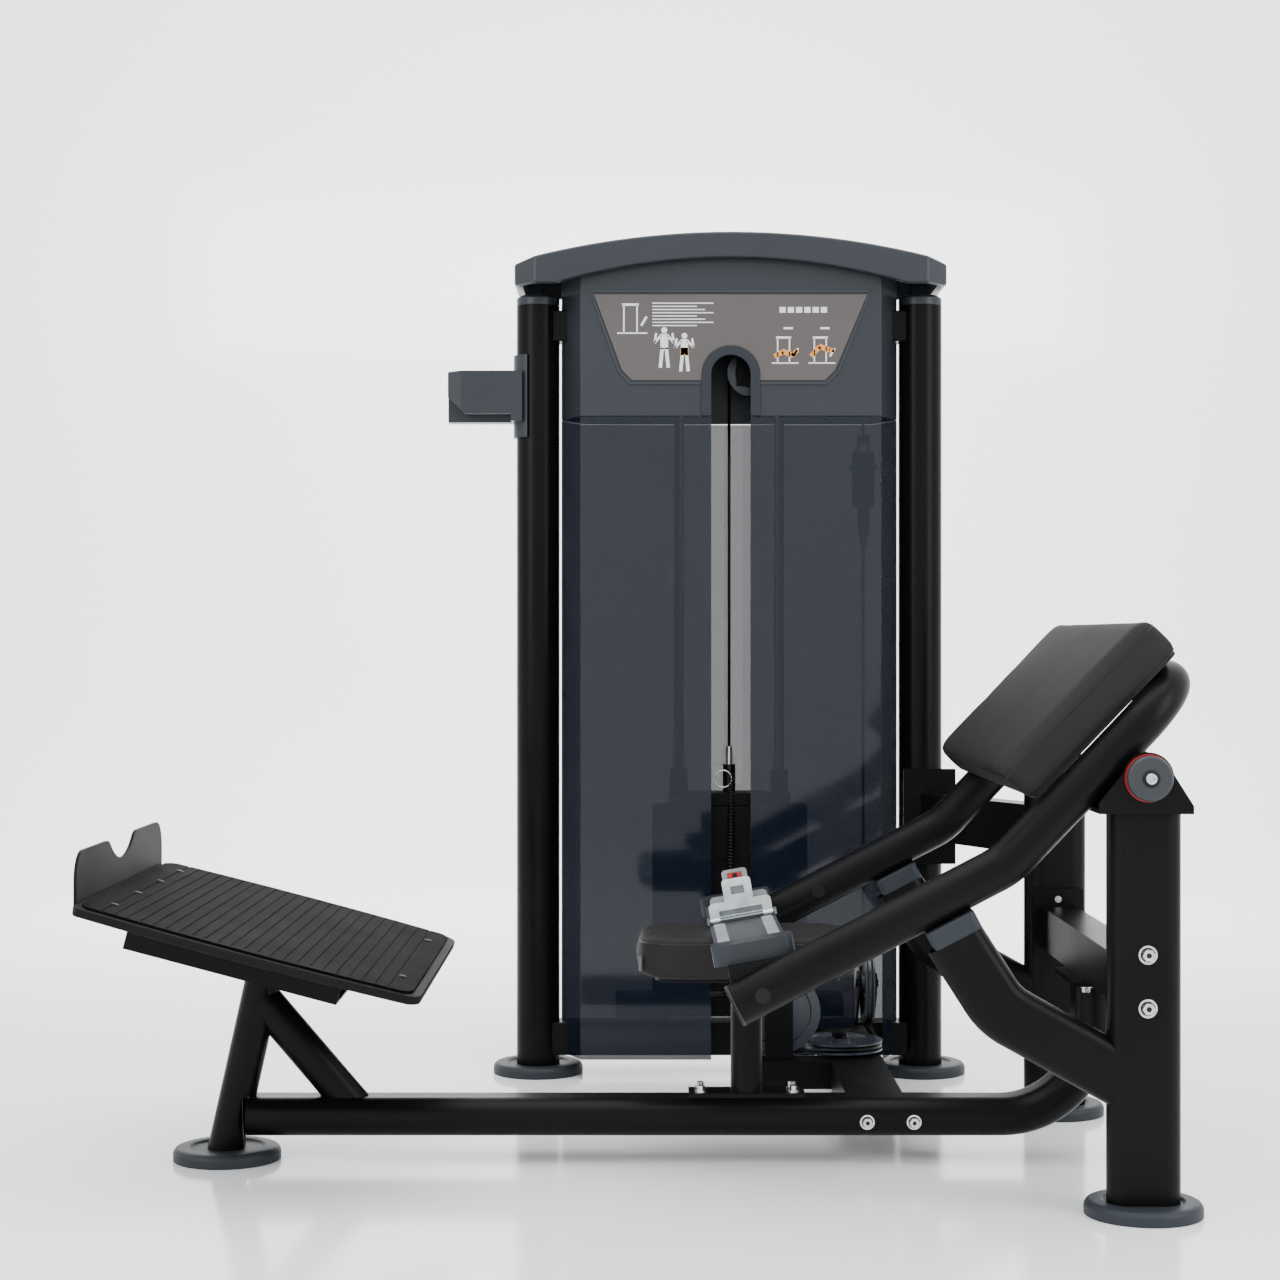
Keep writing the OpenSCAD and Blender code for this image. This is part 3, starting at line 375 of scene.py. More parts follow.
def shade_with_creases(bm):
    """Smooth faces, parted at the edges that stay sharp."""
    for f in bm.faces:
        f.smooth = True
    for e in bm.edges:
        if len(e.link_faces) == 2 and e.calc_face_angle(0) > CREASE:
            e.smooth = False


def dressed(node, edge_mm=1.2, segments=2):
    """A copy of a design part with joined triangles and rounded edges, in its own finish."""
    bm = bmesh.new()
    bm.from_mesh(nodes[node].data)
    bmesh.ops.remove_doubles(bm, verts=bm.verts, dist=SAME_PLACE)
    bmesh.ops.dissolve_limit(
        bm, angle_limit=LEVEL, verts=bm.verts, edges=bm.edges, use_dissolve_boundaries=False,
    )
    sharp = [e for e in bm.edges if len(e.link_faces) == 2 and e.calc_face_angle(0) > SHARP]
    if edge_mm:
        bmesh.ops.bevel(
            bm, geom=sharp, offset=edge_mm * MM, offset_type="OFFSET", segments=segments,
            profile=0.5, affect="EDGES", clamp_overlap=True, material=-1,
        )
    shade_with_creases(bm)
    piece = new_piece(f"{node}_dressed", bm, finishes[slot_of[node]])
    even = piece.modifiers.new("even_shading", "WEIGHTED_NORMAL")
    even.keep_sharp = True
    return settle(piece, node)


def settle(piece, *stands_for, body=None, slot=None):
    """A finished piece rides on its body and stands for the design's own part."""
    first = stands_for[0] if stands_for else None
    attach(piece, body or body_of[first])
    if stands_for:
        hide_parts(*stands_for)
    return piece


base_tube = dressed("base_tube", 0.6)
print("base tube faces", len(base_tube.data.polygons))

# %% [markdown]
# Every hard part is dressed in the same way; only the width of its edges differs, in
# millimetres. Castings and mouldings are soft, cut steel is crisp, and rope isn't bevelled.

# %% Dress all the hard parts
rounding = {
    "left_leg": 0.6, "platform_channel": 1.5, "seat_post": 1.5,
    "front_post": 0.8, "rear_post": 0.8, "crossbeam": 4, "pivot_clevises": 1.0,
    "pivot_axles": 1.0, "pivot_caps": 1.5, "stop_arms": 0.6, "rubber_stops": 3,
    "frame_bolts": 0.6, "feet": 1.5, "tower_uprights": 0.8, "upright_caps": 1.5,
    "tower_base_beam": 3, "tower_top_beam": 3, "tower_brace": 2, "base_link": 3,
    "guide_rods": 0.5, "stack_base": 1.5, "resting_plates": 1.2, "fascia": 1.0,
    "slot_trim": 1.6, "clear_shields": 0.8, "pulley_brackets": 0.7, "cable_fixed": 0,
    "device_holder": 2.5, "front_arm_tube": 0.5, "rear_arm_tube": 0.5, "arm_bow": 0.5,
    "arm_plugs": 1.0, "pad_board": 1.5, "belt_sleeves": 6.0, "cable_anchor": 0.8,
    "buckle_tongue": 0.7, "buckle_body": 0.7, "release_button": 0.8, "head_plate": 1.5,
    "selector_stem": 0.6, "lifted_plates": 1.2, "selector_pin": 0.8, "cable_adjuster": 1.2,
    "top_pulley_left": 0.4, "top_pulley_right": 0.4, "tower_pulley": 0.5, "flat_pulley": 0.5,
    "arm_pulley": 0.5, "tread_mat": 0.35, "footplate": 5, "toe_plate": 1.2, "placard": 0.3,
}
for node, edge in rounding.items():
    dressed(node, edge, 3 if edge > 2 else 2)
print("dressed", len(rounding) + 1)

# %% [markdown]
# The cap of the tower is one arched moulding with soft, generous edges. It could be drawn
# again, but the design's block already has the arch, so a wide bevel is enough.

# %% Tower cap
cap = dressed("shroud_cap", 5, 3)
print("cap", tuple(round(v, 3) for v in cap.dimensions))

# %% [markdown]
# Cushions. A pad is foam under tight vinyl, so its faces swell and its edges pull round. It can
# be blown up as cloth from inside. Cloth needs small even faces all over, and a block has six
# large ones, so the block is first remeshed on an even grid.

# %% An even skin
def even_skin(bm, name, voxel):
    """The closed shape as an even grid of small faces."""
    piece = new_piece(name, bm)
    even = piece.modifiers.new("even", "REMESH")
    even.mode = "VOXEL"
    even.voxel_size = voxel
    bpy.context.view_layer.update()
    mesh = bpy.data.meshes.new_from_object(
        piece.evaluated_get(bpy.context.evaluated_depsgraph_get())
    )
    piece.modifiers.clear()
    piece.data = mesh
    return piece


print("small faces make a supple cover")

# %% [markdown]
# The cloth is weightless and swells for some frames under pressure from inside. Foam holds a
# real cover back, so no point may move further than a few millimetres.

# %% Blow up a cushion
def blown_up(piece, cap_m, pressure=4.0, frames=20):
    """Cloth swollen from inside. No point moves further than cap_m."""
    start = [v.co.copy() for v in piece.data.vertices]
    cloth = piece.modifiers.new("cloth", "CLOTH")
    cloth.settings.quality = 5
    cloth.settings.mass = 0.3
    cloth.settings.tension_stiffness = 30
    cloth.settings.compression_stiffness = 30
    cloth.settings.bending_stiffness = 8
    cloth.settings.use_pressure = True
    cloth.settings.uniform_pressure_force = pressure
    cloth.settings.effector_weights.gravity = 0
    cloth.point_cache.frame_start = 1
    cloth.point_cache.frame_end = frames
    for number in range(1, frames + 1):
        bpy.context.scene.frame_set(number)
    swollen = bpy.data.meshes.new_from_object(
        piece.evaluated_get(bpy.context.evaluated_depsgraph_get())
    )
    piece.modifiers.clear()
    for v, before in zip(swollen.vertices, start):
        move = v.co - before
        if move.length > cap_m:
            v.co = before + move * (cap_m / move.length)
    piece.data = swollen
    bpy.context.scene.frame_set(1)
    return piece


print("a cushion swells for 20 frames")

# %% [markdown]
# Where a cushion lies. The back pad leans with the arm, so its own directions are found first:
# out of its largest side, across the machine, and along.

# %% A cushion's own directions
def largest_normal(node):
    """The way the node's largest flat side faces."""
    mesh = nodes[node].data
    sums = {}
    for f in mesh.polygons:
        key = tuple(round(c, 2) for c in f.normal)
        sums[key] = sums.get(key, 0) + f.area
    best = max(sums, key=sums.get)
    return Vector(best).normalized()


def pad_frame(node):
    """Middle, across, along and out directions of a padded block that lies across Y."""
    out = largest_normal(node)
    if out.z < 0:
        out = -out
    across = Vector((0, 1, 0)) if abs(out.y) < 0.5 else Vector((1, 0, 0))
    along = across.cross(out).normalized()
    pts = [v.co for v in nodes[node].data.vertices]
    spans = []
    for d in (along, across, out):
        values = [p.dot(d) for p in pts]
        spans.append((min(values), max(values)))
    centre = sum(((a + b) / 2 * d for (a, b), d in zip(spans, (along, across, out))), Vector())
    half = [(b - a) / 2 for a, b in spans]
    turn = Matrix((along, across, out)).transposed().to_4x4()
    return Matrix.Translation(centre) @ turn, half


lean = math.degrees(math.acos(largest_normal("back_pad").z))
print("the back pad leans", round(lean, 1), "degrees")

# %% [markdown]
# The whole cushion: a block with round corners, a little smaller than its space, then its even
# skin, the swelling, and a few smoothing passes. The side on the board is pressed flat again.

# %% Make a cushion
COVER_ROOM = 0.0015
BOARD_GAP = 0.0004
CROWN_ROOM = 0.005
SMOOTHINGS = 5


def cushion_block(half, corner, edge):
    """A block with round corners in plan, a little smaller than its space, edges softened."""
    bm = bmesh.new()
    bmesh.ops.create_cube(bm, size=2)
    bmesh.ops.scale(bm, vec=[h - COVER_ROOM for h in half], verts=bm.verts)
    upright = [e for e in bm.edges if abs(e.verts[0].co.z - e.verts[1].co.z) > half[2]]
    bmesh.ops.bevel(
        bm, geom=upright, offset=corner, offset_type="OFFSET", segments=10, profile=0.5,
        affect="EDGES", clamp_overlap=True, material=-1,
    )
    rims = [e for e in bm.edges if e.calc_face_angle(0) > math.radians(60)]
    bmesh.ops.bevel(
        bm, geom=rims, offset=edge, offset_type="OFFSET", segments=5, profile=0.5,
        affect="EDGES", clamp_overlap=True, material=-1,
    )
    return bm


def cushion(node, corner, edge, swell, voxel):
    """A padded piece in its node's space, on a flat bottom. Returns its place and half sizes."""
    place, half = pad_frame(node)
    piece = even_skin(cushion_block(half, corner, edge), node + "_cushion", voxel)
    blown_up(piece, swell)
    bm = bmesh.new()
    bm.from_mesh(piece.data)
    for again in range(SMOOTHINGS):
        bmesh.ops.smooth_vert(bm, verts=bm.verts, factor=0.5, use_axis_x=True, use_axis_y=True,
                              use_axis_z=True)
    for v in bm.verts:
        v.co.z = min(max(v.co.z, -half[2] + BOARD_GAP), half[2] + CROWN_ROOM)
    for f in bm.faces:
        f.smooth = True
    bm.to_mesh(piece.data)
    bm.free()
    piece.data.transform(place)
    skin = piece.modifiers.new("skin", "SUBSURF")
    skin.levels = skin.render_levels = 1
    piece.data.materials.append(finishes[slot_of[node]])
    return settle(piece, node), place, half


print("the crown may rise", CROWN_ROOM / MM, "mm")

# %% [markdown]
# Seams. A cover is sewn where its top meets its side. The seam is a thin cord laid on the cover,
# and its dark colour is painted shade of the seam's crease. It could be a groove in the mesh, but a
# cord laid on the cover needs no finer faces. To lie on the swollen cover its points are found by
# rays shot at the cushion from outside.

# %% Sewn seams
WELT_R = 0.0011


def outline_points(half, corner, step=0.006):
    """Points round a rectangle with round corners, each with the way it faces."""
    out = []
    for quarter in range(4):
        a = math.radians(90 * quarter)
        c = Vector((math.cos(a), math.sin(a), 0))
        side = Vector((-c.y, c.x, 0))
        long, deep = (half[1], half[0]) if quarter % 2 == 0 else (half[0], half[1])
        count = max(2, int(2 * (long - corner) / step))
        for k in range(count):
            out.append((c * deep + side * (long - corner) * (2 * k / count - 1), c))
        for k in range(8):
            b = a + math.radians(90) * k / 8
            n = Vector((math.cos(b), math.sin(b), 0))
            out.append((c * (deep - corner) + side * (long - corner) + n * corner, n))
    return out


def cord_through(name, points, wire, material, closed=True, sides=8):
    """A thin round cord through a run of points: a small ring of vertices at each."""
    bm = bmesh.new()
    first = previous = None
    for k, point in enumerate(points):
        ahead = points[(k + 1) % len(points)] if closed or k + 1 < len(points) else point
        behind = points[k - 1] if closed or k else point
        place = facing(point, ahead - behind)
        ring = bmesh.ops.create_circle(bm, segments=sides, radius=wire, matrix=place)["verts"]
        edges = list({e for v in ring for e in v.link_edges})
        if previous:
            bmesh.ops.bridge_loops(bm, edges=previous + edges)
        first = first or edges
        previous = edges
    if closed:
        bmesh.ops.bridge_loops(bm, edges=previous + first)
    bmesh.ops.recalc_face_normals(bm, faces=bm.faces)
    for f in bm.faces:
        f.smooth = True
    return new_piece(name, bm, material)


def facing(point, towards):
    """A place whose own Z points towards a direction."""
    turn = Vector(towards).to_track_quat("Z", "Y").to_matrix().to_4x4()
    return Matrix.Translation(point) @ turn


def seam(name, piece, place, half, corner, level, body):
    """The sewn welt of a cushion: a thin cord laid on its cover at one height, dark as painted shade of the seam's
    crease.
    """
    start_off, reach, sunk = 0.03, 0.08, 0.0002
    cover = BVHTree.FromPolygons([v.co for v in piece.data.vertices],
                                 [tuple(f.vertices) for f in piece.data.polygons])
    points = []
    for p, n in outline_points(half, corner):
        start = place @ (p + n * start_off + Vector((0, 0, level)))
        way = -(place.to_3x3() @ n)
        hit = cover.ray_cast(start, way, reach)[0]
        if hit is not None:
            points.append(hit + way * sunk)
    # The cord's dark finish is painted shade of the seam's crease.
    welt = cord_through(name, points, WELT_R, finishes["pin_black"])
    return settle(welt, body=body, slot="pad_vinyl")


print("a seam is", round(2 * WELT_R / MM, 1), "mm thick")

# %% [markdown]
# The back pad is a thick block with nearly square corners, sewn along its top and hemmed by its
# board. The seat is rounder and softer at its edges, and has one seam.

# %% The back pad and the seat
PAD_CORNER = 0.018
SEAT_CORNER = 0.068
pad, pad_place, pad_half = cushion("back_pad", PAD_CORNER, 0.013, 0.0035, 0.0060)
seam("pad_seam", pad, pad_place, pad_half, PAD_CORNER, pad_half[2] - 0.016, "arm")
seam("pad_hem", pad, pad_place, pad_half, PAD_CORNER, -pad_half[2] + 0.006, "arm")
seat, seat_place, seat_half = cushion("seat_cushion", SEAT_CORNER, 0.009, 0.0030, 0.0050)
seam("seat_seam", seat, seat_place, seat_half, SEAT_CORNER, seat_half[2] - 0.011, "frame")
print("pad faces", len(pad.data.polygons), "seat faces", len(seat.data.polygons))

# %% [markdown]
# The hip belt is a padded band between the two arm tubes with two woven straps sewn on it. The
# band is flat on its edges and full in the middle, so a subdivided strip is lifted by a curve.

# %% Hip belt
BAND_EDGE = 0.0025
RIM_ANGLE = 1.2


def band(name, place, x0, x1, y0, y1, z0, z1, crown, material, cuts=26):
    """A flat strip with a crowned top, made in the belt's own frame."""
    bm = bmesh.new()
    bmesh.ops.create_cube(bm, size=1)
    bmesh.ops.scale(bm, vec=(x1 - x0, y1 - y0, z1 - z0), verts=bm.verts)
    centre = ((x0 + x1) / 2, (y0 + y1) / 2, (z0 + z1) / 2)
    bmesh.ops.translate(bm, vec=centre, verts=bm.verts)
    for axis, pieces in ((0, 10), (1, cuts)):
        ends = (x0, x1) if axis == 0 else (y0, y1)
        for k in range(1, pieces):
            at = Vector(centre)
            at[axis] = ends[0] + (ends[1] - ends[0]) * k / pieces
            side = Vector((axis == 0, axis == 1, 0))
            bmesh.ops.bisect_plane(
                bm, geom=bm.verts[:] + bm.edges[:] + bm.faces[:], plane_co=at, plane_no=side,
            )
    rims = [e for e in bm.edges if len(e.link_faces) == 2 and e.calc_face_angle(0) > RIM_ANGLE]
    bmesh.ops.bevel(
        bm, geom=rims, offset=min(BAND_EDGE, (z1 - z0) * 0.4), offset_type="OFFSET", segments=3,
        profile=0.5, affect="EDGES", clamp_overlap=True, material=-1,
    )
    for v in bm.verts:
        if v.co.z > centre[2]:
            u = (v.co.x - centre[0]) / (x1 - x0) * 2
            v.co.z += crown * (1 - u * u)
    for f in bm.faces:
        f.smooth = True
    piece = new_piece(name, bm, material)
    piece.data.transform(place)
    return piece


TILT = math.radians(-10)
BELT_HALF_W, BELT_HALF_T = 0.055, 0.0025
belt_place = Matrix.Translation(middle("hip_belt")) @ Matrix.Rotation(TILT, 4, "Y")
belt_half_l = (high("hip_belt").y - low("hip_belt").y) / 2
belt = band("hip_belt_band", belt_place, -BELT_HALF_W, BELT_HALF_W, -belt_half_l, belt_half_l,
            -BELT_HALF_T, BELT_HALF_T - 0.001, 0.001, finishes["belt_fabric"])
settle(belt, "hip_belt")
STRAP_NEAR, STRAP_FAR = 0.030, 0.049
STRAP_FRONT, STRAP_BACK = -0.30, 0.005
for name, edges in (("left", (-STRAP_FAR, -STRAP_NEAR)), ("right", (STRAP_NEAR, STRAP_FAR))):
    strap = band("belt_strap_" + name, belt_place, *edges, STRAP_FRONT, STRAP_BACK,
                 BELT_HALF_T - 0.0015, BELT_HALF_T + 0.0012, 0.0004, strap_light, 14)
    settle(strap, body="arm", slot="belt_fabric")
print("belt", round(2 * belt_half_l, 3), "m long")

# %% [markdown]
# Cables. The long runs stay where they are, but four straight runs grow or shrink as the arm
# swings. Each of these is drawn again as a tube with rings of points only at its two ends, so that
# whatever lies between stays straight.

# %% Cables that change length
CABLE_R = 0.003


def straight_cable(name, top, bottom, stands_for=None):
    """A straight tube between two points."""
    bm = bmesh.new()
    bmesh.ops.create_cone(
        bm, cap_ends=True, segments=16, radius1=CABLE_R, radius2=CABLE_R,
        depth=top.z - bottom.z,
    )
    bmesh.ops.translate(bm, vec=(top + bottom) / 2, verts=bm.verts)
    for f in bm.faces:
        f.smooth = len(f.verts) == 4
    tube = new_piece(name, bm, finishes["cable_black"])
    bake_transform(tube)
    if stands_for:
        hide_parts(stands_for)
    return tube


stack_x = middle("cable_stack").x
drop_x = middle("cable_drop").x
tower_y = middle("guide_rods").y
over_z = high("cable_stack").z
straight_cable("cable_to_stack", Vector((stack_x, tower_y, over_z)),
               Vector((stack_x, tower_y, low("cable_stack").z)), "cable_stack")
straight_cable("cable_to_adjuster", Vector((drop_x, tower_y, over_z)),
               Vector((drop_x, tower_y, high("cable_adjuster").z)), "cable_drop")
straight_cable("cable_from_adjuster", Vector((drop_x, tower_y, low("cable_adjuster").z)),
               Vector((drop_x, tower_y, low("cable_drop").z)))
arm_low, arm_high = low("cable_arm"), high("cable_arm")
rise = middle("cable_arm")
straight_cable("cable_to_arm", Vector((rise.x, rise.y, arm_high.z)),
               Vector((rise.x, rise.y, arm_low.z)), "cable_arm")
print("moving cables", 4)

# %% [markdown]
# Rings, washers, bolt heads and screws are turned parts. Such a part is one outline of radius
# and height, spun about an axis. Many small ones of one kind are joined into a single piece.

# %% Turned parts
def turned(name, place, outline, material, segments=64):
    """A turned part: an outline of radius and height, spun about its own Z and put in place."""
    bm = bmesh.new()
    verts = [bm.verts.new((r, 0, z)) for r, z in outline]
    edges = [bm.edges.new((a, b)) for a, b in zip(verts, verts[1:])]
    bmesh.ops.spin(
        bm, geom=verts + edges, cent=(0, 0, 0), axis=(0, 0, 1), angle=math.tau,
        steps=segments, use_merge=True, use_duplicate=False,
    )
    bmesh.ops.remove_doubles(bm, verts=bm.verts, dist=1e-6)
    bmesh.ops.recalc_face_normals(bm, faces=bm.faces)
    shade_with_creases(bm)
    piece = new_piece(name, bm, material)
    piece.data.transform(place)
    return piece


def joined(name, pieces):
    """Several small pieces as one mesh."""
    bm = bmesh.new()
    materials = []
    for piece in pieces:
        for m in piece.data.materials:
            if m not in materials:
                materials.append(m)
        bm.from_mesh(piece.data)
        mesh = piece.data
        bpy.data.objects.remove(piece)
        bpy.data.meshes.remove(mesh)
    one = new_piece(name, bm)
    for m in materials:
        one.data.materials.append(m)
    return one


print("an outline is spun in 64 steps")

# %% [markdown]
# At each pivot the arm's axle is closed by a grey cap with a red ring behind it and a bright
# bolt in the middle, which sits in a small well. The well's shade is painted as a thin dark disc.

# %% Rings and bolts of the pivots
pivot = Vector(joints["arm_swing"]["pos_m"])
posts = [middle("front_post").y, middle("rear_post").y]
CLEVIS_OUT = 0.042
CAP_OUT = 0.060
rings = []
bolts = []
well_shades = []
for y in posts:
    for s in (-1, 1):
        face = Vector((pivot.x, y + s * CAP_OUT, pivot.z))
        # A thin dark disc: painted shade of the well round the bolt.
        well_shades.append(turned("well", facing(face, (0, s, 0)),
                            [(0, 0.0002), (0.0125, 0.0002), (0.0132, 0.0006)],
                            finishes["pin_black"], 48))
        at = Vector((pivot.x, y + s * CLEVIS_OUT, pivot.z))
        rings.append(turned("ring", facing(at, (0, s, 0)),
                            [(0.0128, 0.0001), (0.0352, 0.0001), (0.0356, 0.0012),
                             (0.0352, 0.0028), (0.0128, 0.0028), (0.0128, 0.0001)],
                            finishes["red_plastic"]))
        bolts.append(turned("bolt", facing(face, (0, s, 0)),
                            [(0, 0.0004), (0.0092, 0.0004), (0.0092, 0.0022),
                             (0.0078, 0.0042), (0.0042, 0.0048), (0.0039, 0.0020), (0, 0.0020)],
                            finishes["zinc"], 48))
settle(joined("pivot_rings", rings), body="frame", slot="red_plastic")
settle(joined("pivot_cap_bolts", bolts), body="frame", slot="zinc")
settle(joined("pivot_cap_well_shade", well_shades), body="frame", slot="plug_black")
print("rings", len(rings), "bolts", len(bolts))

# %% [markdown]
# The tread mat is held by six low screws: four at the toe end and two at the heel. They are set
# in the mat's own sloping frame.

# %% Screws of the tread
PLATE_TILT = math.radians(14.85)
MAT_HALF_T = 0.0019
TOE_END, HEEL_END = -0.222, 0.232
mat_mid = middle("tread_mat")
mat_place = Matrix.Translation(Vector((mat_mid.x, LINE_Y, mat_mid.z + MAT_HALF_T)))
mat_place = mat_place @ Matrix.Rotation(PLATE_TILT, 4, "Y")
screw_places = [(TOE_END, y) for y in (-0.26, -0.09, 0.09, 0.26)]
screw_places += [(HEEL_END, y) for y in (-0.22, 0.22)]
screws = []
for x, y in screw_places:
    place = mat_place @ Matrix.Translation((x, y, 0.0))
    screws.append(turned("screw", place,
                         [(0, 0.0022), (0.0035, 0.0020), (0.0062, 0.0012), (0.0070, -0.0006)],
                         finishes["plug_black"], 24))
settle(joined("tread_screws", screws), body="frame", slot="plug_black")
print("screws", len(screws))
# %% [markdown]
# The selector pin must not be lost, so a curly cord ties it to the stem. The curl is a coil of
# points with a thin cord through them. On the real machine the coil stretches when the pin is
# pulled.

# %% Lanyard of the selector pin
pin = middle("selector_pin")
pin_head = Vector((stack_x, low("selector_pin").y + 0.006, pin.z))
hang = Vector((stack_x + 0.004, tower_y - 0.034, 0.592))
COILS, PER_COIL, COIL_R = 34, 10, 0.0050
LANYARD_R, RING_R, RING_DEPTH, RING_WIRE = 0.0016, 0.0165, 0.004, 0.0012
curl = []
for k in range(COILS * PER_COIL + 1):
    t = k / (COILS * PER_COIL)
    a = math.tau * COILS * t
    r = COIL_R * min(1.0, 10 * t, 10 * (1 - t)) + 0.0003
    curl.append(hang.lerp(pin_head + Vector((0, 0, 0.011)), t)
                + Vector((r * math.cos(a), r * math.sin(a), 0)))
lanyard = cord_through("pin_lanyard", curl, LANYARD_R, finishes["pin_black"], closed=False,
                       sides=6)
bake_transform(lanyard)
ring_at = Vector((stack_x - 0.013, tower_y - 0.036, 0.581))
loop = []
for k in range(48):
    a = math.tau * k / 48
    loop.append(ring_at + Vector((RING_R * math.cos(a), RING_DEPTH * math.sin(a),
                                  RING_R * math.sin(a))))
settle(cord_through("lanyard_ring", loop, RING_WIRE, finishes["zinc"]), body="stack", slot="zinc")
print("lanyard hangs", round(hang.z - pin_head.z, 3), "m")

# %% [markdown]
# The selector stem is blackened steel, but its threaded end is bright zinc where the cable's
# fitting screws on. It could be a piece of its own; two finishes on one piece are simpler.

# %% The stem's bright end
BRIGHT_FROM = 0.609
stem = bpy.data.objects["selector_stem_dressed"]
stem.data.materials.clear()
for material in ("pin_black", "zinc"):
    stem.data.materials.append(finishes[material])
for f in stem.data.polygons:
    f.material_index = 1 if f.center.z > BRIGHT_FROM else 0
print("stem", round(stem.dimensions.z, 3), "m tall")

# %% [markdown]
# A bolt head is read by the shaded socket in its middle and the shaded gap where its washer sits.
# Both are painted shade: thin dark turned pieces laid on the heads that face the front.

# %% Bolt heads
WASHER_BACK = 0.0078
post_bolts = [(middle("front_post").x, low("frame_bolts").y, z, 1.0) for z in (0.310, 0.389)]
flange_bolts = [(x, LINE_Y - 0.061, 0.070, 0.85) for x in (0.379, 0.455)]
painted_shade_marks = []
for x, y, z, k in post_bolts + flange_bolts:
    # A thin dark disc: painted shade of the socket in the bolt's middle.
    painted_shade_marks.append(turned("mark", facing(Vector((x, y - 0.0001, z)), (0, -1, 0)),
                        [(0, 0), (0.0036 * k, 0), (0.0040 * k, 0.0003), (0, 0.0003)],
                        finishes["pin_black"], 24))
    # A thin dark ring: painted shade in the gap where the washer sits.
    painted_shade_marks.append(turned("mark", facing(Vector((x, y + WASHER_BACK, z)), (0, -1, 0)),
                        [(0.0088 * k, 0), (0.0110 * k, 0), (0.0110 * k, 0.0004),
                         (0.0088 * k, 0.0004), (0.0088 * k, 0)], finishes["trim_dark"], 32))
settle(joined("bolt_painted_shade", painted_shade_marks), body="frame", slot="plug_black")
print("bolt marks", len(painted_shade_marks))

# %% [markdown]
# Where the plastic plug meets a tube's cut end a thin paler ring shows. The release button has
# a small notch for the fingertip, whose shade is painted as a thin dark block. Such marks are
# small, but they give the size away.

# %% Small end details
ARM_TUBE_R = 0.0325
arm_route = Vector((0.402, 0, 0.2095)).normalized()
rims = []
for node in ("front_arm_tube", "rear_arm_tube"):
    tube_low = low(node)
    end = Vector((tube_low.x + ARM_TUBE_R * arm_route.z, posts[node == "rear_arm_tube"],
                  tube_low.z + ARM_TUBE_R * arm_route.x))
    rims.append(turned("rim", facing(end + arm_route * 0.0006, -arm_route),
                       [(0.0316, 0), (0.0328, 0), (0.0328, 0.0016), (0.0316, 0.0016), (0.0316, 0)],
                       finishes["cap_plastic"]))
settle(joined("arm_end_rims", rims), body="arm", slot="cap_plastic")
button = middle("release_button")
NOTCH = (0.0075, 0.0012, 0.0066)
bm = bmesh.new()
bmesh.ops.create_cube(bm, size=1)
bmesh.ops.scale(bm, vec=NOTCH, verts=bm.verts)
# The notch's shade is painted: a thin dark block on the button's face.
notch = new_piece("button_notch_shade", bm, finishes["pin_black"])
notch.data.transform(Matrix.Translation((button.x, low("release_button").y, button.z))
                     @ Matrix.Rotation(TILT, 4, "Y"))
settle(notch, body="button", slot="pin_black")
print("rims", len(rims), "and a notch")

# %% [markdown]
# The placard carries picture instructions. Here they are plain signs of no language: two
# standing figures, three small pictures of the machine, and bars for lines of print.
# They are thin raised shapes, so that they stay crisp from any distance.

# %% Inks and strokes
INK_T = 0.0002
PRINT_Y = low("placard").y - INK_T
ink_white = finish("ink_white", (0.62, 0.61, 0.59), 0.5, drift=0.03)
ink_orange = finish("ink_orange", (0.60, 0.23, 0.03), 0.5, drift=0.03)
ink_dark = finish("ink_dark", (0.05, 0.048, 0.046), 0.5, drift=0.03)


def disc(bm, x, z, r, count=20):
    """A round spot on the placard."""
    place = facing((x, PRINT_Y, z), (0, -1, 0))
    bmesh.ops.create_circle(bm, cap_ends=True, segments=count, radius=r, matrix=place)


def stroke(bm, x0, z0, x1, z1, width):
    """A bar with square ends between two points on the placard."""
    a, b = Vector((x0, 0, z0)), Vector((x1, 0, z1))
    along = (b - a).normalized()
    side = Vector((-along.z, 0, along.x)) * (width / 2)
    centre = (a + b) / 2
    place = Matrix.Translation((centre.x, PRINT_Y, centre.z)) @ Matrix(
        (along, Vector((0, -1, 0)).cross(along), (0, -1, 0))).transposed().to_4x4()
    made = bmesh.ops.create_grid(bm, x_segments=1, y_segments=1, size=0.5, matrix=Matrix())
    verts = made["verts"]
    bmesh.ops.scale(bm, vec=((b - a).length, width, 1), verts=verts)
    bmesh.ops.transform(bm, matrix=place, verts=verts)


def printed(name, bm, material):
    """Gives the flat signs a little thickness and fixes them to the placard."""
    for f in bm.faces:
        if f.normal.y > 0:
            f.normal_flip()
    piece = new_piece(name, bm, material)
    thick = piece.modifiers.new("ink", "SOLIDIFY")
    thick.thickness = INK_T
    thick.offset = -1
    return settle(piece, body="frame", slot="placard_grey")


print("three inks, laid at y", round(PRINT_Y, 4))

# %% [markdown]
# Two signs are enough: a standing figure, all of whose parts are fractions of its height, and
# a little machine, all of whose parts are fractions of its width. So each can be any size.

# %% Signs of a person and of the machine
def figure(bm, x, z, h, lean=0.0):
    """A standing person of plain strokes, h tall, with the feet at z."""
    disc(bm, x + lean * h, z + 0.93 * h, 0.075 * h)
    stroke(bm, x + lean * h, z + 0.84 * h, x, z + 0.46 * h, 0.19 * h)
    for s in (-1, 1):
        stroke(bm, x + s * 0.05 * h, z + 0.50 * h, x + s * 0.10 * h, z, 0.085 * h)
        stroke(bm, x + s * 0.08 * h, z + 0.80 * h, x + s * 0.24 * h, z + 0.62 * h, 0.06 * h)
        stroke(bm, x + s * 0.24 * h, z + 0.62 * h, x + s * 0.20 * h, z + 0.86 * h, 0.055 * h)


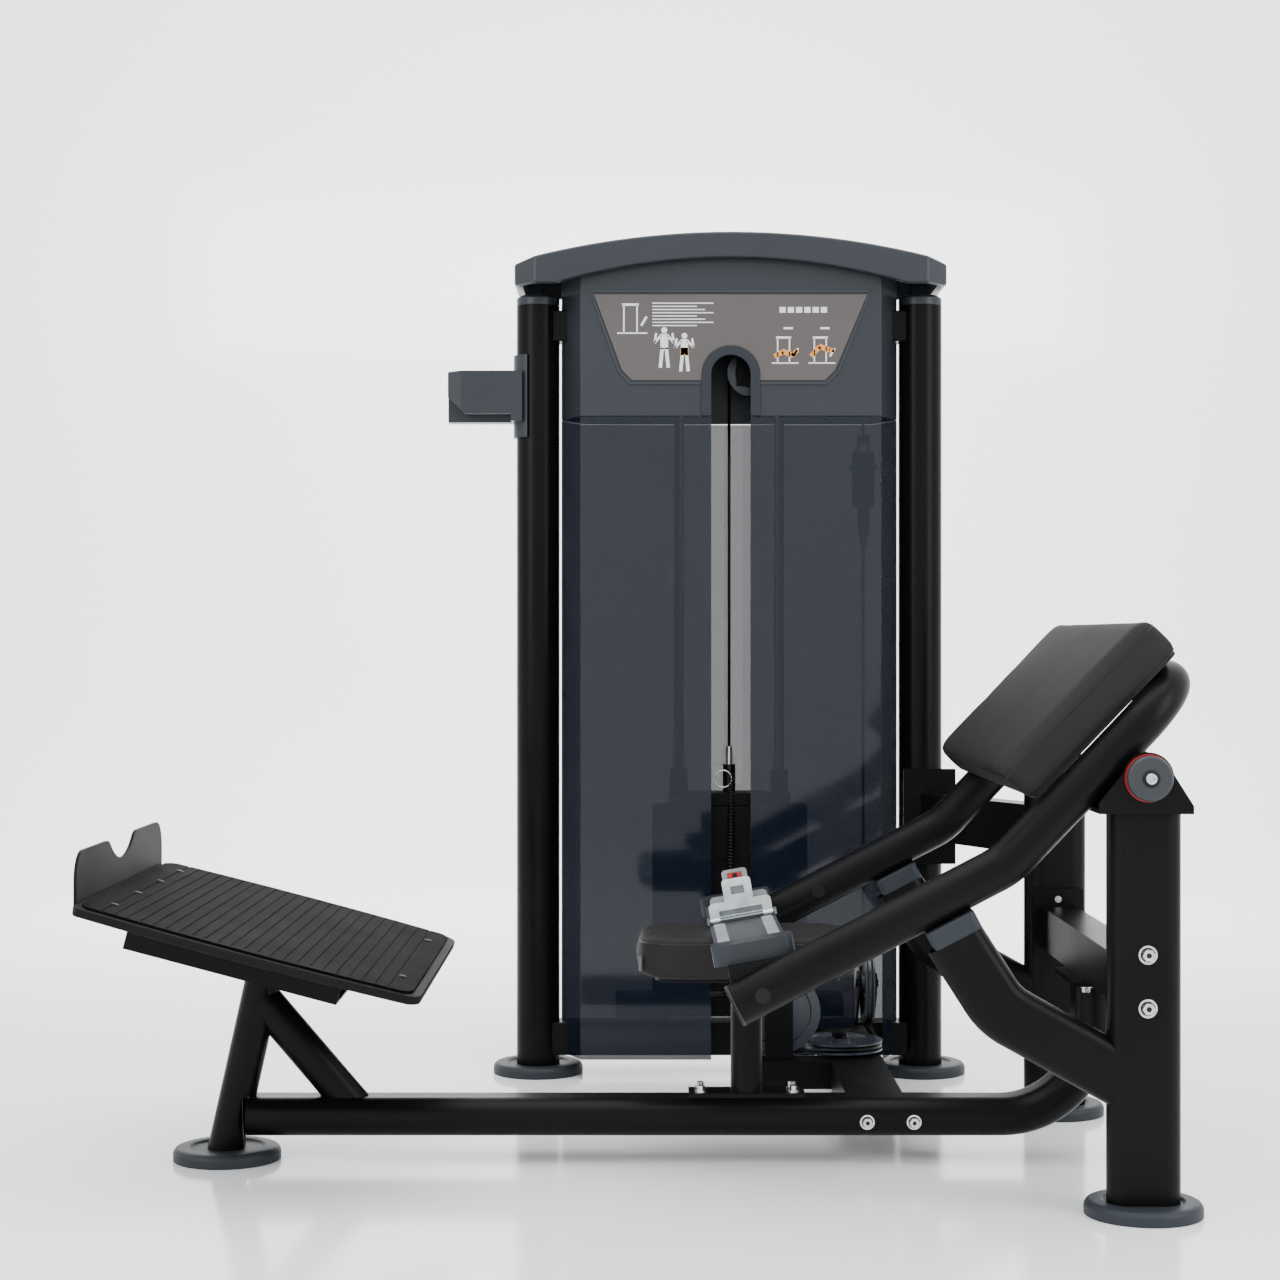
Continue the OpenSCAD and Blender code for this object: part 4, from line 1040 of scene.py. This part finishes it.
def machine_sign(bm, x, z, w):
    """A little machine: a tower, a base line and a sloping pad."""
    stroke(bm, x - 0.5 * w, z, x + 0.5 * w, z, 0.05 * w)
    for s in (-0.28, 0.16):
        stroke(bm, x + s * w, z, x + s * w, z + 0.95 * w, 0.05 * w)
    stroke(bm, x - 0.34 * w, z + 0.95 * w, x + 0.22 * w, z + 0.95 * w, 0.08 * w)
    stroke(bm, x + 0.30 * w, z + 0.25 * w, x + 0.48 * w, z + 0.55 * w, 0.08 * w)


print("signs", figure.__name__, machine_sign.__name__)

# %% [markdown]
# The pictures themselves. Rows of bars stand for small print and for a title, and the white
# signs carry an orange figure at work. All of one ink is one piece.

# %% Placard pictures
LINE_STEP = 0.0062
TITLE_STEP, TITLE_BAR = 0.0160, 0.012
white = bmesh.new()
figure(white, 0.057, 1.380, 0.078)
figure(white, 0.096, 1.373, 0.074)
for k in range(8):
    z = 1.505 - k * LINE_STEP
    stroke(white, 0.034, z, 0.152 - 0.016 * ((k * 5) % 3), z, 0.0022)
machine_sign(white, -0.005, 1.447, 0.058)
machine_sign(white, 0.291, 1.389, 0.052)
machine_sign(white, 0.362, 1.389, 0.052)
for k in range(6):
    x = 0.280 + k * TITLE_STEP
    stroke(white, x, 1.492, x + TITLE_BAR, 1.492, 0.011)
for x in (0.288, 0.359):
    stroke(white, x, 1.4565, x + 0.018, 1.4565, 0.004)
printed("placard_white", white, ink_white)
orange = bmesh.new()
for x in (0.270, 0.341):
    lift = 0.010 if x > 0.3 else 0.0
    stroke(orange, x, 1.402, x + 0.017, 1.411 + lift, 0.009)
    stroke(orange, x + 0.015, 1.412 + lift, x + 0.036, 1.404 + lift, 0.010)
    stroke(orange, x + 0.034, 1.403 + lift, x + 0.045, 1.414, 0.008)
stroke(orange, 0.096, 1.404, 0.096, 1.419, 0.016)
printed("placard_orange", orange, ink_orange)
dots = bmesh.new()
for k, x in enumerate((0.258, 0.262, 0.250, 0.262)):
    disc(dots, x, 1.500 - k * 0.0075, 0.0019, 12)
printed("placard_dots", dots, ink_dark)
print("placard pieces", 3)

# %% [markdown]
# The placard lies in a shallow frame of its own. Narrow bars along its outline make that
# frame. The bottom is left open where the cable's slot cuts through.

# %% Raised rim round the placard
RIM_W, RIM_T = 0.004, 0.0016
slot_right = (0.232, 1.350)
slot_left = (0.140, 1.350)
around = [slot_left, (-0.009, 1.350), (-0.031, 1.374), (-0.085, 1.528), (0.456, 1.528),
          (0.394, 1.374), (0.371, 1.350), slot_right]
rim = bmesh.new()
for a, b in zip(around, around[1:]):
    stroke(rim, *a, *b, RIM_W)
rim_piece = printed("placard_rim", rim, finishes["cap_plastic"])
rim_piece.modifiers["ink"].thickness = RIM_T
print("rim bars", len(around) - 1)

# %% [markdown]
# A small sewn tag hangs on the seat's end. It is a thin block with softened edges.

# %% Tag on the seat's end
TAG = (0.014, 0.024, 0.0016)
TAG_FACING = (-0.92, -0.39, 0)
bm = bmesh.new()
bmesh.ops.create_cube(bm, size=1)
bmesh.ops.scale(bm, vec=TAG, verts=bm.verts)
bmesh.ops.bevel(bm, geom=bm.edges[:], offset=0.0007, offset_type="OFFSET", segments=2, profile=0.5,
                affect="EDGES", clamp_overlap=True, material=-1)
tag = new_piece("seat_tag", bm, finishes["pin_black"])
tag_at = Vector((low("seat_cushion").x + 0.0062, LINE_Y - 0.073, 0.330))
tag.data.transform(facing(tag_at, TAG_FACING))
settle(tag, body="frame", slot="pin_black")
print("tag", TAG[0], "by", TAG[1], "m")
